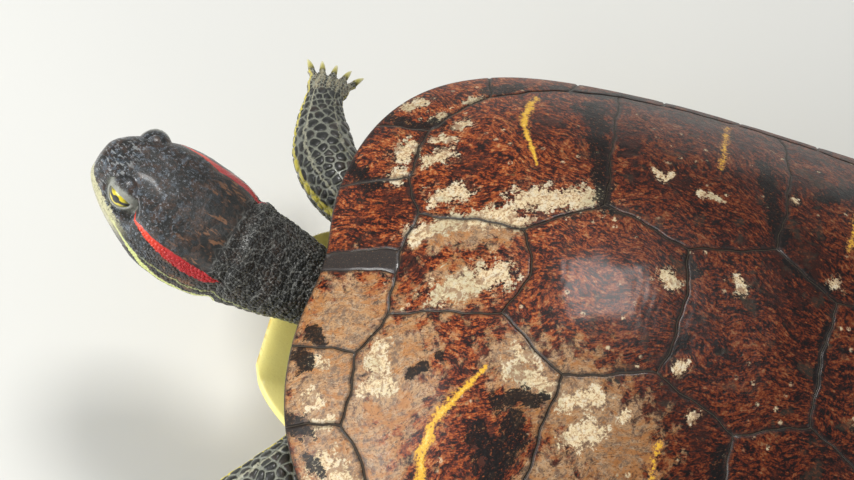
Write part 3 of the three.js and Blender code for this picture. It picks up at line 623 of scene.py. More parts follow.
def horn_finish(s, belly):
    """Wet horn of the carapace: fibres along each plate, worn cream, blotches, yellow bars, dark seams, and
    painted shade that darkens the rear and right side.
    """
    f = Finish("wet_horn")
    edge, ring, _ = f.split(f.stored("plate", True))
    worn, blot, bar = f.split(f.stored("marks", True))
    dry, under = f.stored("dry"), f.stored("underneath")
    grain = f.stored("grain", True)
    patch = f.noise(f.mm, 0.055, 3.0, 0.55)
    ragged = f.noise(f.mm, 0.42, 5.0, 0.66, 0.4)
    speck = f.noise(f.mm, 1.15, 4.0, 0.66, 0.3)
    dust = f.noise(f.mm, 3.4, 2.0, 0.6)
    long_fibre = f.noise(grain, 0.42, 3.0, 0.62, 0.3)
    fibre = f.noise(grain, 1.0, 3.0, 0.65, 0.35)
    thread = f.noise(grain, 2.3, 2.0, 0.62, 0.2)
    # reddish horn: short streaks from near black through brown to orange and a pale ochre
    level = fibre * 0.42 + speck * 0.33 + thread * 0.25 + (long_fibre - 0.5) * 0.3 + (patch - 0.5) * 0.2
    colour = f.palette(level, [(0.42, (0.01, 0.005, 0.005)), (0.465, s.deep), (0.505, s.ground),
                               (0.565, s.fibre), (0.615, (0.44, 0.2, 0.075)), (0.68, (0.5, 0.3, 0.15))])
    warm = long_fibre * 0.5 + ragged * 0.3 + patch * 0.35 + (thread - 0.5) * 0.3
    colour = f.mix((patch + (ragged - 0.5) * 0.8).step(0.44, 0.3) * 0.5, colour, (0.1, 0.028, 0.015))
    x, y, z = f.split(f.mm)
    # painted shade: the horn is painted darker towards the rear and the right side, broken up by noise
    painted_rear_shade = (y + x.step(-20, -75) * 20 + (patch - 0.5) * 50 + (ragged - 0.5) * 30).step(-62, -8)
    colour = f.dim(painted_rear_shade * 0.9, colour, (0.4, 0.34, 0.36))
    # dark mottles of the horn itself, laid on more thickly towards the rear as painted shade
    dark_mottle = f.noise(f.mm, 0.12, 4.0, 0.6, 0.5)
    colour = f.mix(dark_mottle.step(0.55, 0.66) * (0.25 + painted_rear_shade * 0.3), colour, (0.035, 0.03, 0.02))
    # dry tan of the front left plates
    tan = f.mix((ragged * 0.6 + speck * 0.4).step(0.42, 0.56), (0.2, 0.13, 0.085), s.tan)
    tan = f.layers(tan, [
        ((fibre * 0.6 + dust * 0.4).step(0.52, 0.62) * 0.7, (0.5, 0.4, 0.27)),
        (warm.step(0.53, 0.66) * 0.85, (0.4, 0.17, 0.05)),
        ((thread * 0.5 + speck * 0.5).step(0.54, 0.6) * 0.75, (0.05, 0.028, 0.02)),
    ])
    # painted shade: the tan is painted darker towards the rear as well
    tan = f.dim(painted_rear_shade * 0.5, tan, (0.62, 0.55, 0.5))
    dryness = (dry + (ragged - 0.5) * 1.3 + (speck - 0.5) * 0.6).step(0.3, 0.7)
    colour = f.mix(dryness * 0.9, colour, tan)
    # worn cream, crumbled at its edges and through its middle
    flaws = (ragged - 0.5) * 1.5 + (speck - 0.5) * 0.9 + (thread - 0.5) * 0.5
    cream = (worn + flaws).step(0.48, 0.66)
    paler = f.layers(s.tan, [
        ((speck * 0.6 + dust * 0.4).step(0.4, 0.56), s.worn),
        (ragged.step(0.5, 0.62) * 0.7, (0.68, 0.62, 0.47)),
        (patch.step(0.45, 0.6) * 0.45, (0.36, 0.35, 0.22)),
        ((speck * 0.5 + thread * 0.5).step(0.47, 0.41) * 0.7, (0.3, 0.17, 0.08)),
    ])
    pitted = f.noise(f.mm, 0.25, 4.0, 0.65, 0.6)
    paler = f.mix(pitted.step(0.47, 0.4) * 0.75, paler, (0.24, 0.13, 0.07))
    colour = f.layers(colour, [
        (cream * 0.93, paler),
        ((worn + 0.25).step(0.3, 0.75) * (1 - cream) * (speck.step(0.5, 0.6) * 0.5), s.tan),
    ])
    fleck = (1 - f.cells(f.mm, 0.2).step(0.1, 0.22)) * patch.step(0.5, 0.6) * speck.step(0.45, 0.55)
    colour = f.mix(fleck * 0.75, colour, s.worn)
    # black blotches with teeth along the fibres
    black = (blot + (ragged - 0.5) * 1.3 + (fibre - 0.5) * 1.0 + (dust - 0.5) * 0.4).step(0.38, 0.48)
    colour = f.mix(black * (0.96 - (speck * 0.6 + thread * 0.4).step(0.54, 0.62) * 0.6), colour, s.black)
    stray = (patch * 0.5 + ragged * 0.5 + (fibre - 0.5) * 0.35).step(0.61, 0.66)
    colour = f.mix(stray * 0.75 * (1 - cream), colour, s.black)
    # yellow bars, bright in the middle, frayed at their ends
    yellow = bar + (speck - 0.5) * 1.3 + (ragged - 0.5) * 1.1 + (thread - 0.5) * 0.6
    colour = f.layers(colour, [
        (yellow.step(0.3, 0.55) * 0.75, (0.46, 0.2, 0.05)),
        (yellow.step(0.52, 0.7) * 0.9, s.bar),
        (yellow.step(0.85, 1.05) * 0.6, (0.85, 0.66, 0.2)),
    ])
    shade = (edge + (ragged - 0.5) * 2.6).step(1.5, 0.5)
    colour = f.layers(colour, [
        (shade * 0.6, s.seam),
        ((edge + (speck - 0.5) * 0.5).step(0.4, 0.24) * 0.95, (0.008, 0.006, 0.005)),
        (edge.step(0.16, 0.08) * 0.8, (0.1, 0.08, 0.06)),
    ])
    lit = f.mix(speck.step(0.45, 0.65) * 0.5, belly.yellow, belly.pale)
    lit = f.mix(((1 - ring) + (ragged - 0.5) * 0.8).step(0.42, 0.6), lit, belly.smudge)
    colour = f.mix(under, colour, lit)
    relief = f.bump(fibre * 0.5 + speck * 0.3 + thread * 0.2, 0.5, 0.0004)
    relief = f.bump(ragged * 0.8 - cream * 0.4 + yellow.step(0.4, 0.6) * 0.15, 0.6, 0.0005, relief)
    gloss = z.step(84, 118) * 0.3 + 0.08
    return f.finish(colour, 0.34 + ragged * 0.25 + cream * 0.15, relief, Coat_Weight=gloss,
                    Coat_Roughness=0.14, Coat_IOR=1.3, IOR=1.36, Specular_IOR_Level=0.35)


def cervical_finish(s):
    """Darker grey horn of the small plate over the neck."""
    f = Finish("dark_horn")
    edge = f.split(f.stored("plate", True))[0]
    grainy = f.noise(f.mm, 0.8, 4.0, 0.6)
    fine = f.noise(f.mm, 3.0, 3.0, 0.6)
    colour = f.layers(s.seam, [
        (grainy.step(0.4, 0.65), s.cervical),
        (fine.step(0.6, 0.72) * 0.5, s.tan),
        (edge.step(0.6, 0.3), s.seam),
    ])
    return f.finish(colour, 0.36 + grainy * 0.2, f.bump(grainy + fine * 0.4, 0.4, 0.0003), Coat_Weight=0.85,
                    Coat_Roughness=0.09, Coat_IOR=1.34)


def plastron_finish(b):
    """Yellow plastron with a dark smudge in each plate and brown seams; its upper face is painted brighter as
    painted light.
    """
    f = Finish("plastron_horn")
    edge, smudge, inner = f.split(f.stored("plate", True))
    broad, fine = f.noise(f.mm, 0.16, 4.0, 0.6), f.noise(f.mm, 1.4, 4.0, 0.6)
    colour = f.layers(b.yellow, [
        (broad.step(0.35, 0.65), b.pale),
        # painted light: inner is 1 on the upper face, which is painted a paler, brighter yellow with fewer
        # brown flecks
        (inner * 0.9, (1.0, 0.9, 0.32)),
        (fine.step(0.55, 0.75) * (0.35 - inner * 0.2), (0.42, 0.2, 0.05)),
        ((smudge + (broad - 0.5) * 0.9 + (fine - 0.5) * 0.4).step(0.44, 0.6) * 0.93, b.smudge),
        (edge.step(0.75, 0.25) * 0.9, (0.07, 0.04, 0.02)),
    ])
    relief = f.bump(broad * 0.6 + fine * 0.3 + edge.step(0.0, 1.2), 0.4, 0.0005)
    return f.finish(colour, 0.33 + fine * 0.2, relief, Coat_Weight=0.6, Coat_Roughness=0.12, Coat_IOR=1.34)


def skin_finish(s):
    """Skin and scales in one: stripes follow the limb, the net between the scales stays pale."""
    f = Finish("slider_skin")
    run, over, side = f.split(f.stored("lay", True))
    part, crest, cell, lid = f.stored("part"), f.stored("crest"), f.stored("cell"), f.stored("lid")
    wobble = f.noise(f.mm, 0.5, 3.0, 0.6)
    fine = f.noise(f.mm, 2.6, 3.0, 0.6)
    broad = f.noise(f.mm, 0.17, 3.0, 0.55)
    angle = f.node("ShaderNodeMath", {"operation": "ARCTAN2"}, {0: side, 1: over}) * (180 / math.pi)
    away = abs(angle) + (wobble - 0.5) * 5
    head = part.step(0.6, 0.4)
    limb = part.step(0.4, 0.6) * part.step(4.6, 4.4)
    fore = part.step(0.4, 0.6) * part.step(2.6, 2.4)
    face = head * run.step(49, 44)
    drawn = f.join(run * 0.12, over * 5.5, side * 5.5)
    lines = f.noise(drawn, 1.6, 4.0, 0.6, 0.4)
    # scale tops
    top = f.layers(s.dark, [
        ((cell * 0.6 + wobble * 0.5).step(0.35, 0.8) * 0.35, (0.045, 0.047, 0.04)),
        (broad.step(0.5, 0.68) * 0.35, s.brown),
        (fine.step(0.6, 0.75) * 0.25, s.net),
    ])
    # crown and cheeks; the grey blue patches and pale grey specks are painted sheen of the wet skin
    bloom = f.noise(f.mm, 0.3, 4.0, 0.65, 0.5)
    crown = f.layers(s.dark, [
        (bloom.step(0.45, 0.6) * 0.7, s.brown),
        ((wobble * 0.6 + fine * 0.4).step(0.51, 0.58) * 0.75 * run.step(46, 18), s.blue),
        ((wobble * 0.3 + fine * 0.7).step(0.58, 0.63) * 0.3 * run.step(40, 16), (0.34, 0.36, 0.38)),
        (fine.step(0.54, 0.62) * 0.7, (0.01, 0.009, 0.008)),
    ])
    # the dark flakes and the brown lines are the skin's own; the pale blue grey flakes are painted glints
    flakes_and_glints = f.noise(f.mm, 1.2, 4.0, 0.7, 0.6)
    crown = f.layers(crown, [
        (flakes_and_glints.step(0.57, 0.62) * 0.6 * run.step(44, 20), (0.3, 0.33, 0.37)),
        (flakes_and_glints.step(0.44, 0.4) * 0.75, (0.008, 0.007, 0.007)),
        (lines.step(0.55, 0.62) * 0.75 * run.step(28, 40), (0.22, 0.1, 0.045)),
    ])
    # painted reflection: pale grey streaks across the snout stand for glints on the wet skin
    tilted = f.node("ShaderNodeMapping", {"vector_type": "TEXTURE"},
                    {0: f.mm, "Rotation": (0.3, 0.0, 0.9), "Scale": (3.2, 1.0, 1.4)})
    painted_snout_glints = f.noise(tilted, 0.9, 3.0, 0.6, 0.3)
    crown = f.mix(painted_snout_glints.step(0.57, 0.63) * 0.5 * run.step(14, 7), crown, (0.4, 0.42, 0.42))
    top = f.mix(face, top, crown)
    # net between scales; on the neck only some of it is pale
    net = f.mix(fine.step(0.4, 0.65) * 0.5, s.net, (0.1, 0.1, 0.085))
    crease = f.noise(f.join(run * 0.5, over * 3.0, side * 3.0), 1.4, 4.0, 0.6, 0.8)
    dark_net = f.mix(crease.step(0.52, 0.62) * 0.65, (0.018, 0.018, 0.017), (0.22, 0.22, 0.2))
    net = f.mix(head, net, dark_net)
    soft = f.mix((wobble * 0.5 + fine * 0.5).step(0.42, 0.62), (0.022, 0.022, 0.02), (0.09, 0.09, 0.068))
    net = f.mix(part.step(5.4, 5.6), net, f.mix(broad.step(0.5, 0.66) * 0.4, soft, (0.12, 0.115, 0.06)))
    colour = f.mix((crest + face).step(0.15, 0.62), net, top)
    hairline = f.cells(f.join(run * 0.2 + over * 0.8, over * 5.5, side * 5.5), 1.0, "DISTANCE_TO_EDGE")
    hairline = (hairline + (fine - 0.5) * 0.06).step(0.05, 0.015) * run.step(43, 52) * head
    colour = f.mix(hairline * 0.4, colour, (0.3, 0.3, 0.27))
    # underside of neck, limbs and tail
    below = away.step(128, 158)
    pale = f.mix(lines.step(0.5, 0.6) * 0.75, s.belly, s.dark)
    tail = part.step(4.4, 4.6) * part.step(5.6, 5.4)
    colour = f.mix(below * (head.max(tail) * 0.9 + limb * 0.5), colour, pale)
    # thin stripes of neck and jaw
    jaw = away.band(run.ramp([(10, 96), (16, 101), (33, 113), (60, 120), (120, 122)]),
                    run.ramp([(12, 0), (16, 4.6), (30, 5.6), (60, 3.8), (120, 3.2)]), 0.9)
    second = away.band(run.ramp([(26, 98), (60, 98), (120, 100)]),
                       run.ramp([(26, 0), (34, 1.1), (120, 1.8)]), 0.8)
    third = away.band(146, run.ramp([(20, 0), (34, 1.8), (120, 2.4)]), 0.9)
    colour = f.mix(head * (jaw.max(second * 0.45).max(third)) * 0.95, colour, s.lime)
    mouth, above_mouth, sculpted = f.split(f.stored("beak", True))
    streaks = f.noise(f.mm, 0.62, 4.0, 0.62, 0.8)
    horn = above_mouth + (streaks - 0.5) * 6.0
    beak = sculpted * run.step(22, 12) * horn.step(4.4, 3.4) * horn.step(-5.4, -4.2)
    flawed = (streaks * 0.5 + fine * 0.5).step(0.47, 0.6) * 0.7
    horn_colour = f.mix(flawed, (0.6, 0.57, 0.34), (0.17, 0.16, 0.09))
    colour = f.mix(beak * 0.9, colour, horn_colour)
    # the red ear stripe
    lean = away + side.step(0.0, -0.1) * run.ramp([(16, 10), (24, 26), (34, 33), (54, 31)])
    red = lean.band(run.ramp([(17, 67), (24, 70), (34, 72), (54, 78)]),
                    run.ramp([(17, 0), (20, 1.6), (26, 3.2), (32, 5.6), (38, 7.6), (48, 7.0), (52.5, 0)]),
                    0.7)
    ember = f.mix((run + wobble * 6).step(26, 40), s.orange, s.red)
    ember = f.mix(fine.step(0.5, 0.7) * 0.3, ember, (0.25, 0.01, 0.01))
    colour = f.mix(head * red * run.step(53.5, 52) * run.step(17, 19), colour, ember)
    # lids
    ringed = (fine * 0.35 + wobble * 0.35 + lid * 0.3).step(0.42, 0.6)
    lid_colour = f.mix(ringed, (0.04, 0.042, 0.04), (0.36, 0.37, 0.32))
    colour = f.layers(colour, [
        (lid.step(0.15, 0.75) * 0.75, lid_colour),
        (mouth.step(0.25, 0.7) * sculpted, (0.012, 0.01, 0.008)),
    ])
    # limb stripes, measured from the top towards the leading edge
    turn = angle + (wobble - 0.5) * 12
    lead = turn.band(76, 8, 2.5) * run.step(1, 8)
    inner = turn.band(38, 2.6, 1.5) * run.step(4, 12)
    trail = turn.band(-86, 7, 2.5) * run.step(1, 8)
    mid = turn.band(-30, 2.2, 1.5) * run.step(22, 30)
    low = turn.band(140, 5, 2.5) * run.step(1, 8)
    colour = f.layers(colour, [
        (limb * (lead.max(trail * 0.85).max(low * 0.8)) * (0.6 + crest * 0.4), s.yellow),
        (limb * fore * inner.max(mid * 0.7) * 0.8, (0.42, 0.41, 0.3)),
    ])
    foot = limb * run.step(FOOT_RUN, FOOT_RUN + 4)
    rays = f.noise(f.join(run * 0.05, over * 2.0, side * 8.0), 2.2, 3.0, 0.5)
    colour = f.mix(foot * (rays * 0.6 + wobble * 0.4).step(0.47, 0.58) * 0.6, colour, s.foot)
    tail_line = tail * away.band(75, 9, 3)
    colour = f.mix(tail_line * 0.85, colour, s.yellow)
    relief = f.bump(fine * 0.4 + wobble * 0.6 + face * flakes_and_glints * 0.6, 0.45, 0.0005)
    pleats = f.noise(f.join(run * 0.9, over * 2.2, side * 2.2), 1.3, 4.0, 0.6, 0.6)
    relief = f.bump(pleats * (1 - face * 0.7), 0.35, 0.0005, relief)
    return f.finish(colour, 0.36 + fine * 0.18, relief, Coat_Weight=0.5, Coat_Roughness=0.14, Coat_IOR=1.34)


def eye_finish(s):
    """Yellow iris with a round pupil and the dark bar that runs through it."""
    f = Finish("slider_eye")
    ahead, upward, out = f.split(f.stored("gaze", True))
    from_middle = (ahead * ahead + upward * upward) ** 0.5
    fleck = f.noise(f.mm, 3.2, 4.0, 0.65)
    colour = f.mix((from_middle + (fleck - 0.5) * 0.25).step(0.42, 0.66), s.iris, s.rim)
    colour = f.mix(fleck.step(0.56, 0.68) * 0.55, colour, (0.12, 0.1, 0.02))
    bar = (abs(upward) + (fleck - 0.5) * 0.06).step(0.15, 0.08)
    colour = f.layers(colour, [
        (bar, s.pupil),
        (from_middle.step(0.27, 0.24), s.pupil),
    ])
    outside = (from_middle + (fleck - 0.5) * 0.05).step(0.74, 0.8).max(out.step(0.35, 0.25))
    colour = f.mix(outside, colour, (0.02, 0.02, 0.015))
    return f.finish(colour, 0.25 + fleck * 0.1, f.bump(fleck, 0.1, 0.0001), Coat_Weight=1.0,
                    Coat_Roughness=0.02, Coat_IOR=1.38)


def claw_finish(s):
    """Short horn claws, paler towards the tip, with fine lengthwise lines."""
    f = Finish("claw_horn")
    share = f.stored("share")
    grainy = f.noise(f.mm, 2.2, 3.0, 0.6)
    colour = f.mix((share + (grainy - 0.5) * 0.3).step(0.2, 0.9), s.claw, s.claw_tip)
    colour = f.mix((1 - share).step(0.72, 0.98) * 0.7, colour, (0.06, 0.055, 0.03))
    return f.finish(colour, 0.3 + grainy * 0.15, f.bump(grainy, 0.3, 0.0002), Coat_Weight=0.5,
                    Coat_Roughness=0.12)


def painted_finish(s):
    """Satin paint with a faint orange peel."""
    f = Finish("satin_paint")
    peel, cloud = f.noise(f.mm, 1.1, 2.0, 0.5), f.noise(f.mm, 0.05, 3.0, 0.5)
    colour = f.mix(cloud.step(0.3, 0.7) * 0.4, s.plate, tuple(c * 1.35 for c in s.plate))
    return f.finish(colour, 0.42 + cloud * 0.12, f.bump(peel, 0.15, 0.0002))


def steel_finish(s):
    """Brushed steel with lines round the rod."""
    f = Finish("brushed_steel")
    x, y, z = f.split(f.mm)
    lines = f.noise(f.join(x * 0.1, y * 0.1, z * 3.0), 2.0, 3.0, 0.6)
    colour = f.mix(lines.step(0.3, 0.7), tuple(c * 0.8 for c in s.steel), s.steel)
    return f.finish(colour, 0.26 + lines * 0.16, f.bump(lines, 0.2, 0.0001), Metallic=1.0)


def floor_finish(s):
    """Plain matt floor, a little uneven in its tone."""
    f = Finish("pale_floor")
    cloud = f.noise(f.mm, 0.004, 2.0, 0.5)
    colour = f.mix(cloud.step(0.3, 0.7) * 0.3, s.floor, tuple(c * 0.95 for c in s.floor))
    return f.finish(colour, 0.62 + cloud * 0.1)


# ---- carapace and plastron -------------------------------------------------------------------
def plate_mesh(name, keys, shell, rings, crown, seed):
    """A plate in rings from its middle to its seam, down the wall and back under it."""
    loop = plate_loop(keys, shell.step / MM)
    around = len(loop)
    middle = loop.mean(axis=0)
    groove, roll, growth = shell.groove / MM, shell.roll / MM, shell.growth / MM
    walls, floor_rings = 3, 5
    along = rings + walls + floor_rings

    def place(u, v):
        row = np.round(v * along).astype(int)
        i = np.round(u * around).astype(int) % around
        on_top = row <= rings
        r = np.where(on_top, 1 - (1 - clamp(row / rings)) ** 1.45, 1.0)
        deep = clamp((row - rings) / walls)
        past = clamp((row - rings - walls) / floor_rings)
        r = r * (1 - past)
        xy = middle + (loop[i] - middle) * r[:, None]
        x, y = xy[:, 0], xy[:, 1]
        e = edge_distance(xy, loop)
        e = np.where(r >= 0.9999, 0, e)
        normal = dome_normal(x, y)
        lift = 0.1 + crown * (0.85 - r * r) - groove * (1 - ease(0, roll, e)) ** 1.3
        swell = roughly(x, y, 7.0, seed) * 0.12 * ease(0, 5, e)
        bands = np.sin(2 * math.pi * (e / 2.6 + 0.25 * roughly(x, y, 7.0, seed + 3)))
        lift = lift + swell + growth * bands * ease(0.8, 2.2, e) * (1 - ease(9, 26, e))
        lift = np.where(on_top, lift, (0.1 - 0.15 * crown - groove) * (1 - deep) - PLATE * deep)
        points = columns(x, y, dome(x, y)) + normal * lift[:, None]
        # fibres fan out gently from a point behind the plate
        focus = middle * (0.35, 1.0) + (0, 58)
        radius = np.hypot(x - focus[0], y - focus[1])
        turn = np.arctan2(x - focus[0], focus[1] - y) + 0.05 * roughly(x, y, 9.0, seed + 5)
        grain = columns(turn * 65, radius * 0.42, np.full_like(radius, seed * 3))
        bars = np.maximum(0.9 * mark_field(x, y, BARS), 0.62 * mark_field(x, y, FAINT_BARS))
        marks = columns(mark_field(x, y, WORN), mark_field(x, y, BLOTS), bars)
        return points, {
            "plate": columns(e, r, np.full_like(r, (seed * 0.37) % 1)),
            "grain": grain, "marks": marks, "dry": mark_field(x, y, DRY),
            "underneath": ease(0.55, 1.0, deep),
        }

    return bent_grid(name, around, along, place)


PLASTRON_Y = [-123, -120.5, -115, -104, -88, -68, -57, -47, -38, -10, 20, 38, 48, 58, 72, 89, 101, 107]
PLASTRON_W = [20, 26, 32, 39, 48, 55, 62, 84, 95, 99, 99.5, 96, 86, 64, 58, 51, 38, 24]
PLASTRON_THICK, PLASTRON_EDGE = 4.4, 1.6
# Seams of the plastron: place along the body at the middle and at the side, and how far out they run.
CROSS_SEAMS = [(-76, -70, 60), (-20, -26, 100), (30, 28, 100), (72, 60, 60)]
SMUDGES = [[(16, -86), (24, -82), 4], [(22, -52), (36, -50), 9], [(26, 2), (46, 4), 10],
           [(22, 48), (34, 46), 8], [(16, 86), (22, 90), 6], [(88, -30), 3.5], [(91, -9), 4.5],
           [(88, 14), 3.5], [(90, 33), 3.0]]


def plastron_under(x, y):
    bridge = np.maximum((rim(y) - 6.2) * clamp((np.abs(x) - 55) / 45) ** 1.6, 0)
    return bridge + 4 * ease(-96, -123, y) + 3 * ease(86, 107, y)


def plastron_mesh():
    width = curve(PLASTRON_Y, PLASTRON_W)
    front, rear = PLASTRON_Y[0], PLASTRON_Y[-1]
    around, along = 220, 200

    def place(u, v):
        y = front + (rear - front) * v
        w = width(y) - 0.2
        ends = clamp(np.minimum(v, 1 - v) * along / 4)
        thick = PLASTRON_THICK * np.sqrt(1 - (1 - ends) ** 2)
        phase = u * 2
        lower = phase < 1
        s = np.where(lower, -1 + 2 * phase, 3 - 2 * phase)
        round_off = np.sqrt(clamp(1 - clamp((np.abs(s) * w - (w - PLASTRON_EDGE)) / PLASTRON_EDGE) ** 2))
        x = s * w
        fork = 5 * (1 - np.abs(s)) * ease(0.93, 1, v)
        e = np.abs(x) + 0.5 * np.sin(y * 0.2)
        for mid, at_side, reach in CROSS_SEAMS:
            line = mid + (at_side - mid) * clamp(np.abs(x) / reach) ** 1.4 + 0.7 * np.sin(x * 0.16 + mid)
            e = np.minimum(e, np.abs(y - line))
        bridge_line = np.abs(np.abs(x) - (62 + 0.8 * np.sin(y * 0.15)))
        e = np.where((y > -44) & (y < 44), np.minimum(e, bridge_line), e)
        groove = 0.55 * bell(e, 0.6)
        swell = 0.25 * roughly(x, y, 14.0, 2.0)
        bridge = ease(-60, -45, y) * ease(62, 46, y)
        z_mid = plastron_under(x, y) + 2.3 + 4.2 * ease(80, 98, np.abs(x)) * bridge
        half = thick / 2 * round_off
        # the two faces meet at the rim, so grooves and swelling fade out there
        z = z_mid + np.where(lower, -half + (groove + 0.15 * swell) * clamp(half / 1.2), half)
        points = columns(x, y - fork, z)
        smudge = mark_field(np.abs(x), y, SMUDGES)
        # the third value is 1 on the upper face, which the finish paints brighter as painted light
        return points, {"plate": columns(e, smudge, np.where(lower, 0.0, 1.0))}

    return bent_grid("plastron_shell", around, along, place)


# ---- head, in its own frame --------------------------------------------------------------------
EYES = np.array([-9.9, -174.8, 56.0])
YAW, PITCH, ROLL = (math.radians(a) for a in (13.5, 11, 13))
LEVEL, SIDE = np.array([-math.sin(YAW), -math.cos(YAW), 0]), np.array([math.cos(YAW), -math.sin(YAW), 0])
UPRIGHT = -LEVEL * math.sin(PITCH) + np.array([0, 0, math.cos(PITCH)])
AHEAD = LEVEL * math.cos(PITCH) + np.array([0, 0, math.sin(PITCH)])
LEFT = SIDE * math.cos(ROLL) + UPRIGHT * math.sin(ROLL)
UP = -SIDE * math.sin(ROLL) + UPRIGHT * math.cos(ROLL)
EYE_ASIDE, EYE_UP, EYE_RADIUS = 10.0, 0.4, 5.2
GAZE = np.array([0.26, 0.95, 0.08])
HEAD_AXES = np.stack([AHEAD, LEFT, UP])
# how many rows of the head's mesh, and how far apart, from the snout back
HEAD_ROWS = [(84, 0.31), (52, 0.52), (92, 0.9)]
HEAD_STATIONS = [
    (-38, 18.4, 7.4, 22.4), (-31, 20.6, 8.4, 24.6), (-23, 21.6, 8.8, 25.6), (-15, 21.0, 9.0, 25.2),
    (-8, 19.2, 8.9, 23.4), (-2, 16.8, 8.4, 21.2), (3, 14.4, 7.0, 19.0), (7, 11.6, 5.0, 17.0),
    (10.4, 8.4, 2.8, 14.8), (11.8, 6.4, 1.5, 13.2), (12.6, 4.4, 0.1, 11.4), (13.0, 1.6, -2.4, 8.6),
]
NECK = [(0, -84, 31, 12.5, 10.5), (0, -98, 31.6, 13, 10.6), (-0.2, -112, 32.4, 13.4, 10.6),
        (-0.5, -121, 35.2, 15.2, 11.4)]


def in_head(u, v, w):
    return EYES + AHEAD * u + LEFT * v + UP * w


def unit(v):
    v = np.asarray(v, float)
    return v / np.linalg.norm(v)


def units(rows):
    return rows / np.linalg.norm(rows, axis=1, keepdims=True)


def eye_axes(side):
    """Forward, upward and outward from an eye, in the head's frame."""
    gaze = unit(GAZE * (1, side, 1))
    ahead = unit(np.array([1.0, 0, 0]) - gaze * gaze[0])
    upward = np.cross(gaze, ahead)
    return np.stack([ahead, upward if upward[2] > 0 else -upward, gaze])


def spine(rows):
    """Smooth curves through the stations of a limb by the distance along it, and its whole length."""
    reach = np.concatenate([[0], np.cumsum(np.linalg.norm(np.diff(rows[:, :3], axis=0), axis=1))])
    lines = [curve(reach, rows[:, k]) for k in range(rows.shape[1])]
    return lambda distance: columns(*[line(distance) for line in lines]), reach[-1]


def skin_fields(run, over, side, part, **own):
    """What each point of the skin stores: its place on its limb, which limb, and the scale, lid and beak."""
    none = np.zeros_like(run)
    return {"lay": columns(run, over, side), "part": none + PARTS[part], "crest": none, "cell": none + 0.5,
            "lid": none, "beak": columns(none, none, none), **own}


def head_rows():
    """Stations from inside the shell to the snout: centre, right, up, half width, above, below, power."""
    rows = []
    for i, (x, y, z, wide, thick) in enumerate(NECK):
        up = unit((0, 0.22 if i > 1 else 0.08, 1))
        rows.append([x, y, z, 1, 0, 0, *up, wide, thick, thick, 2.1])
    last, end = np.array(NECK[-1][:3], float), in_head(-38.3, 0, -7.4)
    centre = last * 0.5 + end * 0.5
    right, up = unit(np.array([1.0, 0, 0]) * 0.5 + LEFT * 0.5), unit(unit((0, 0.22, 1)) * 0.5 + UP * 0.5)
    rows.append([*centre, *right, *up, 17, 13.2, 13.2, 2.1])
    for u, wide, above, below in HEAD_STATIONS:
        middle = (above - below) * 0.4
        rows.append([*in_head(u, 0, middle), *LEFT, *UP, wide, above - middle, below + middle, 2.25])
    return np.array(rows)


def sculpt_head(points, inward):
    """Lids, brow, mouth, nostrils and ear drum, worked into points near the head."""
    rel = points - EYES
    u, v, w = rel @ AHEAD, rel @ LEFT, rel @ UP
    shift = np.zeros_like(points)
    lid = np.zeros(len(points))
    slit = -10.5 + 0.0795 * (u + 14) - 0.7 * ease(8, 12.5, u)
    d = w - slit
    on_jaw = ease(-17, -13, u)
    mouth = bell(d, 0.42) * on_jaw
    shift += inward * (0.9 * mouth)[:, None]
    shift += inward * (0.55 * ease(0.2, -0.6, d) * ease(-9, -3, d) * on_jaw)[:, None]
    shift -= inward * (0.3 * bell(d, 1.0, 1.2) * on_jaw)[:, None]
    for side in (-1, 1):
        r = np.hypot(v - side * 1.7, w + 2.6)
        shift += inward * (1.1 * bell(r, 0.6) * ease(10, 11.5, u))[:, None]
        drum = np.hypot(u + 23.5, (w + 7.5) * 1.1)
        ring = 0.4 * bell(drum, 0.7, 4.6) + 0.25 * ease(4.6, 3.0, drum)
        shift += inward * (ring * (np.sign(v) == side))[:, None]
    hollow = 0.7 * bell(v, 4.5) * ease(-10, -3, u) * ease(11, 7, u) * ease(0, 3, w)
    shift += inward * hollow[:, None]
    for side in (-1, 1):
        ahead, upward, gaze = eye_axes(side)
        c = columns(u, v - side * EYE_ASIDE, w - EYE_UP)
        h, qa, qu = c @ gaze, c @ ahead, c @ upward
        reach = np.hypot(qa / 1.16, np.where(qu > 0, qu / 0.64, qu / 0.84))
        ball = np.sqrt(np.maximum(EYE_RADIUS**2 - qa**2 - qu**2, 0))
        ball = np.where(qa**2 + qu**2 < EYE_RADIUS**2, ball, 0)
        shell = ball - 1.0 + 1.75 * ease(3.05, 4.1, reach)
        folds = 0.22 * np.cos((reach - 4.5) * 2 * math.pi / 1.35)
        folds = folds * ease(4.2, 4.8, reach) * ease(7.4, 5.6, reach)
        share = ease(7.6, 4.6, reach) * ease(-1.0, 1.5, h)
        target = h * (1 - share) + (shell + folds) * share
        shift += gaze @ HEAD_AXES * (target - h)[:, None] * (share > 0)[:, None]
        lid = np.maximum(lid, ease(7.4, 4.4, reach) * ease(0.0, 2.0, h))
        # nothing of the ball shows but in the opening
        moved = c + (shift @ HEAD_AXES.T)
        distance = np.linalg.norm(moved, axis=1)
        covered = (distance < EYE_RADIUS + 0.5) & ~((reach < 3.9) & (h > 0))
        push = moved / np.maximum(distance, 1e-6)[:, None] * (EYE_RADIUS + 0.5 - distance)[:, None]
        push = push @ HEAD_AXES
        shift += push * covered[:, None] * (np.sign(v) == side)[:, None]
    return shift, lid, mouth, d


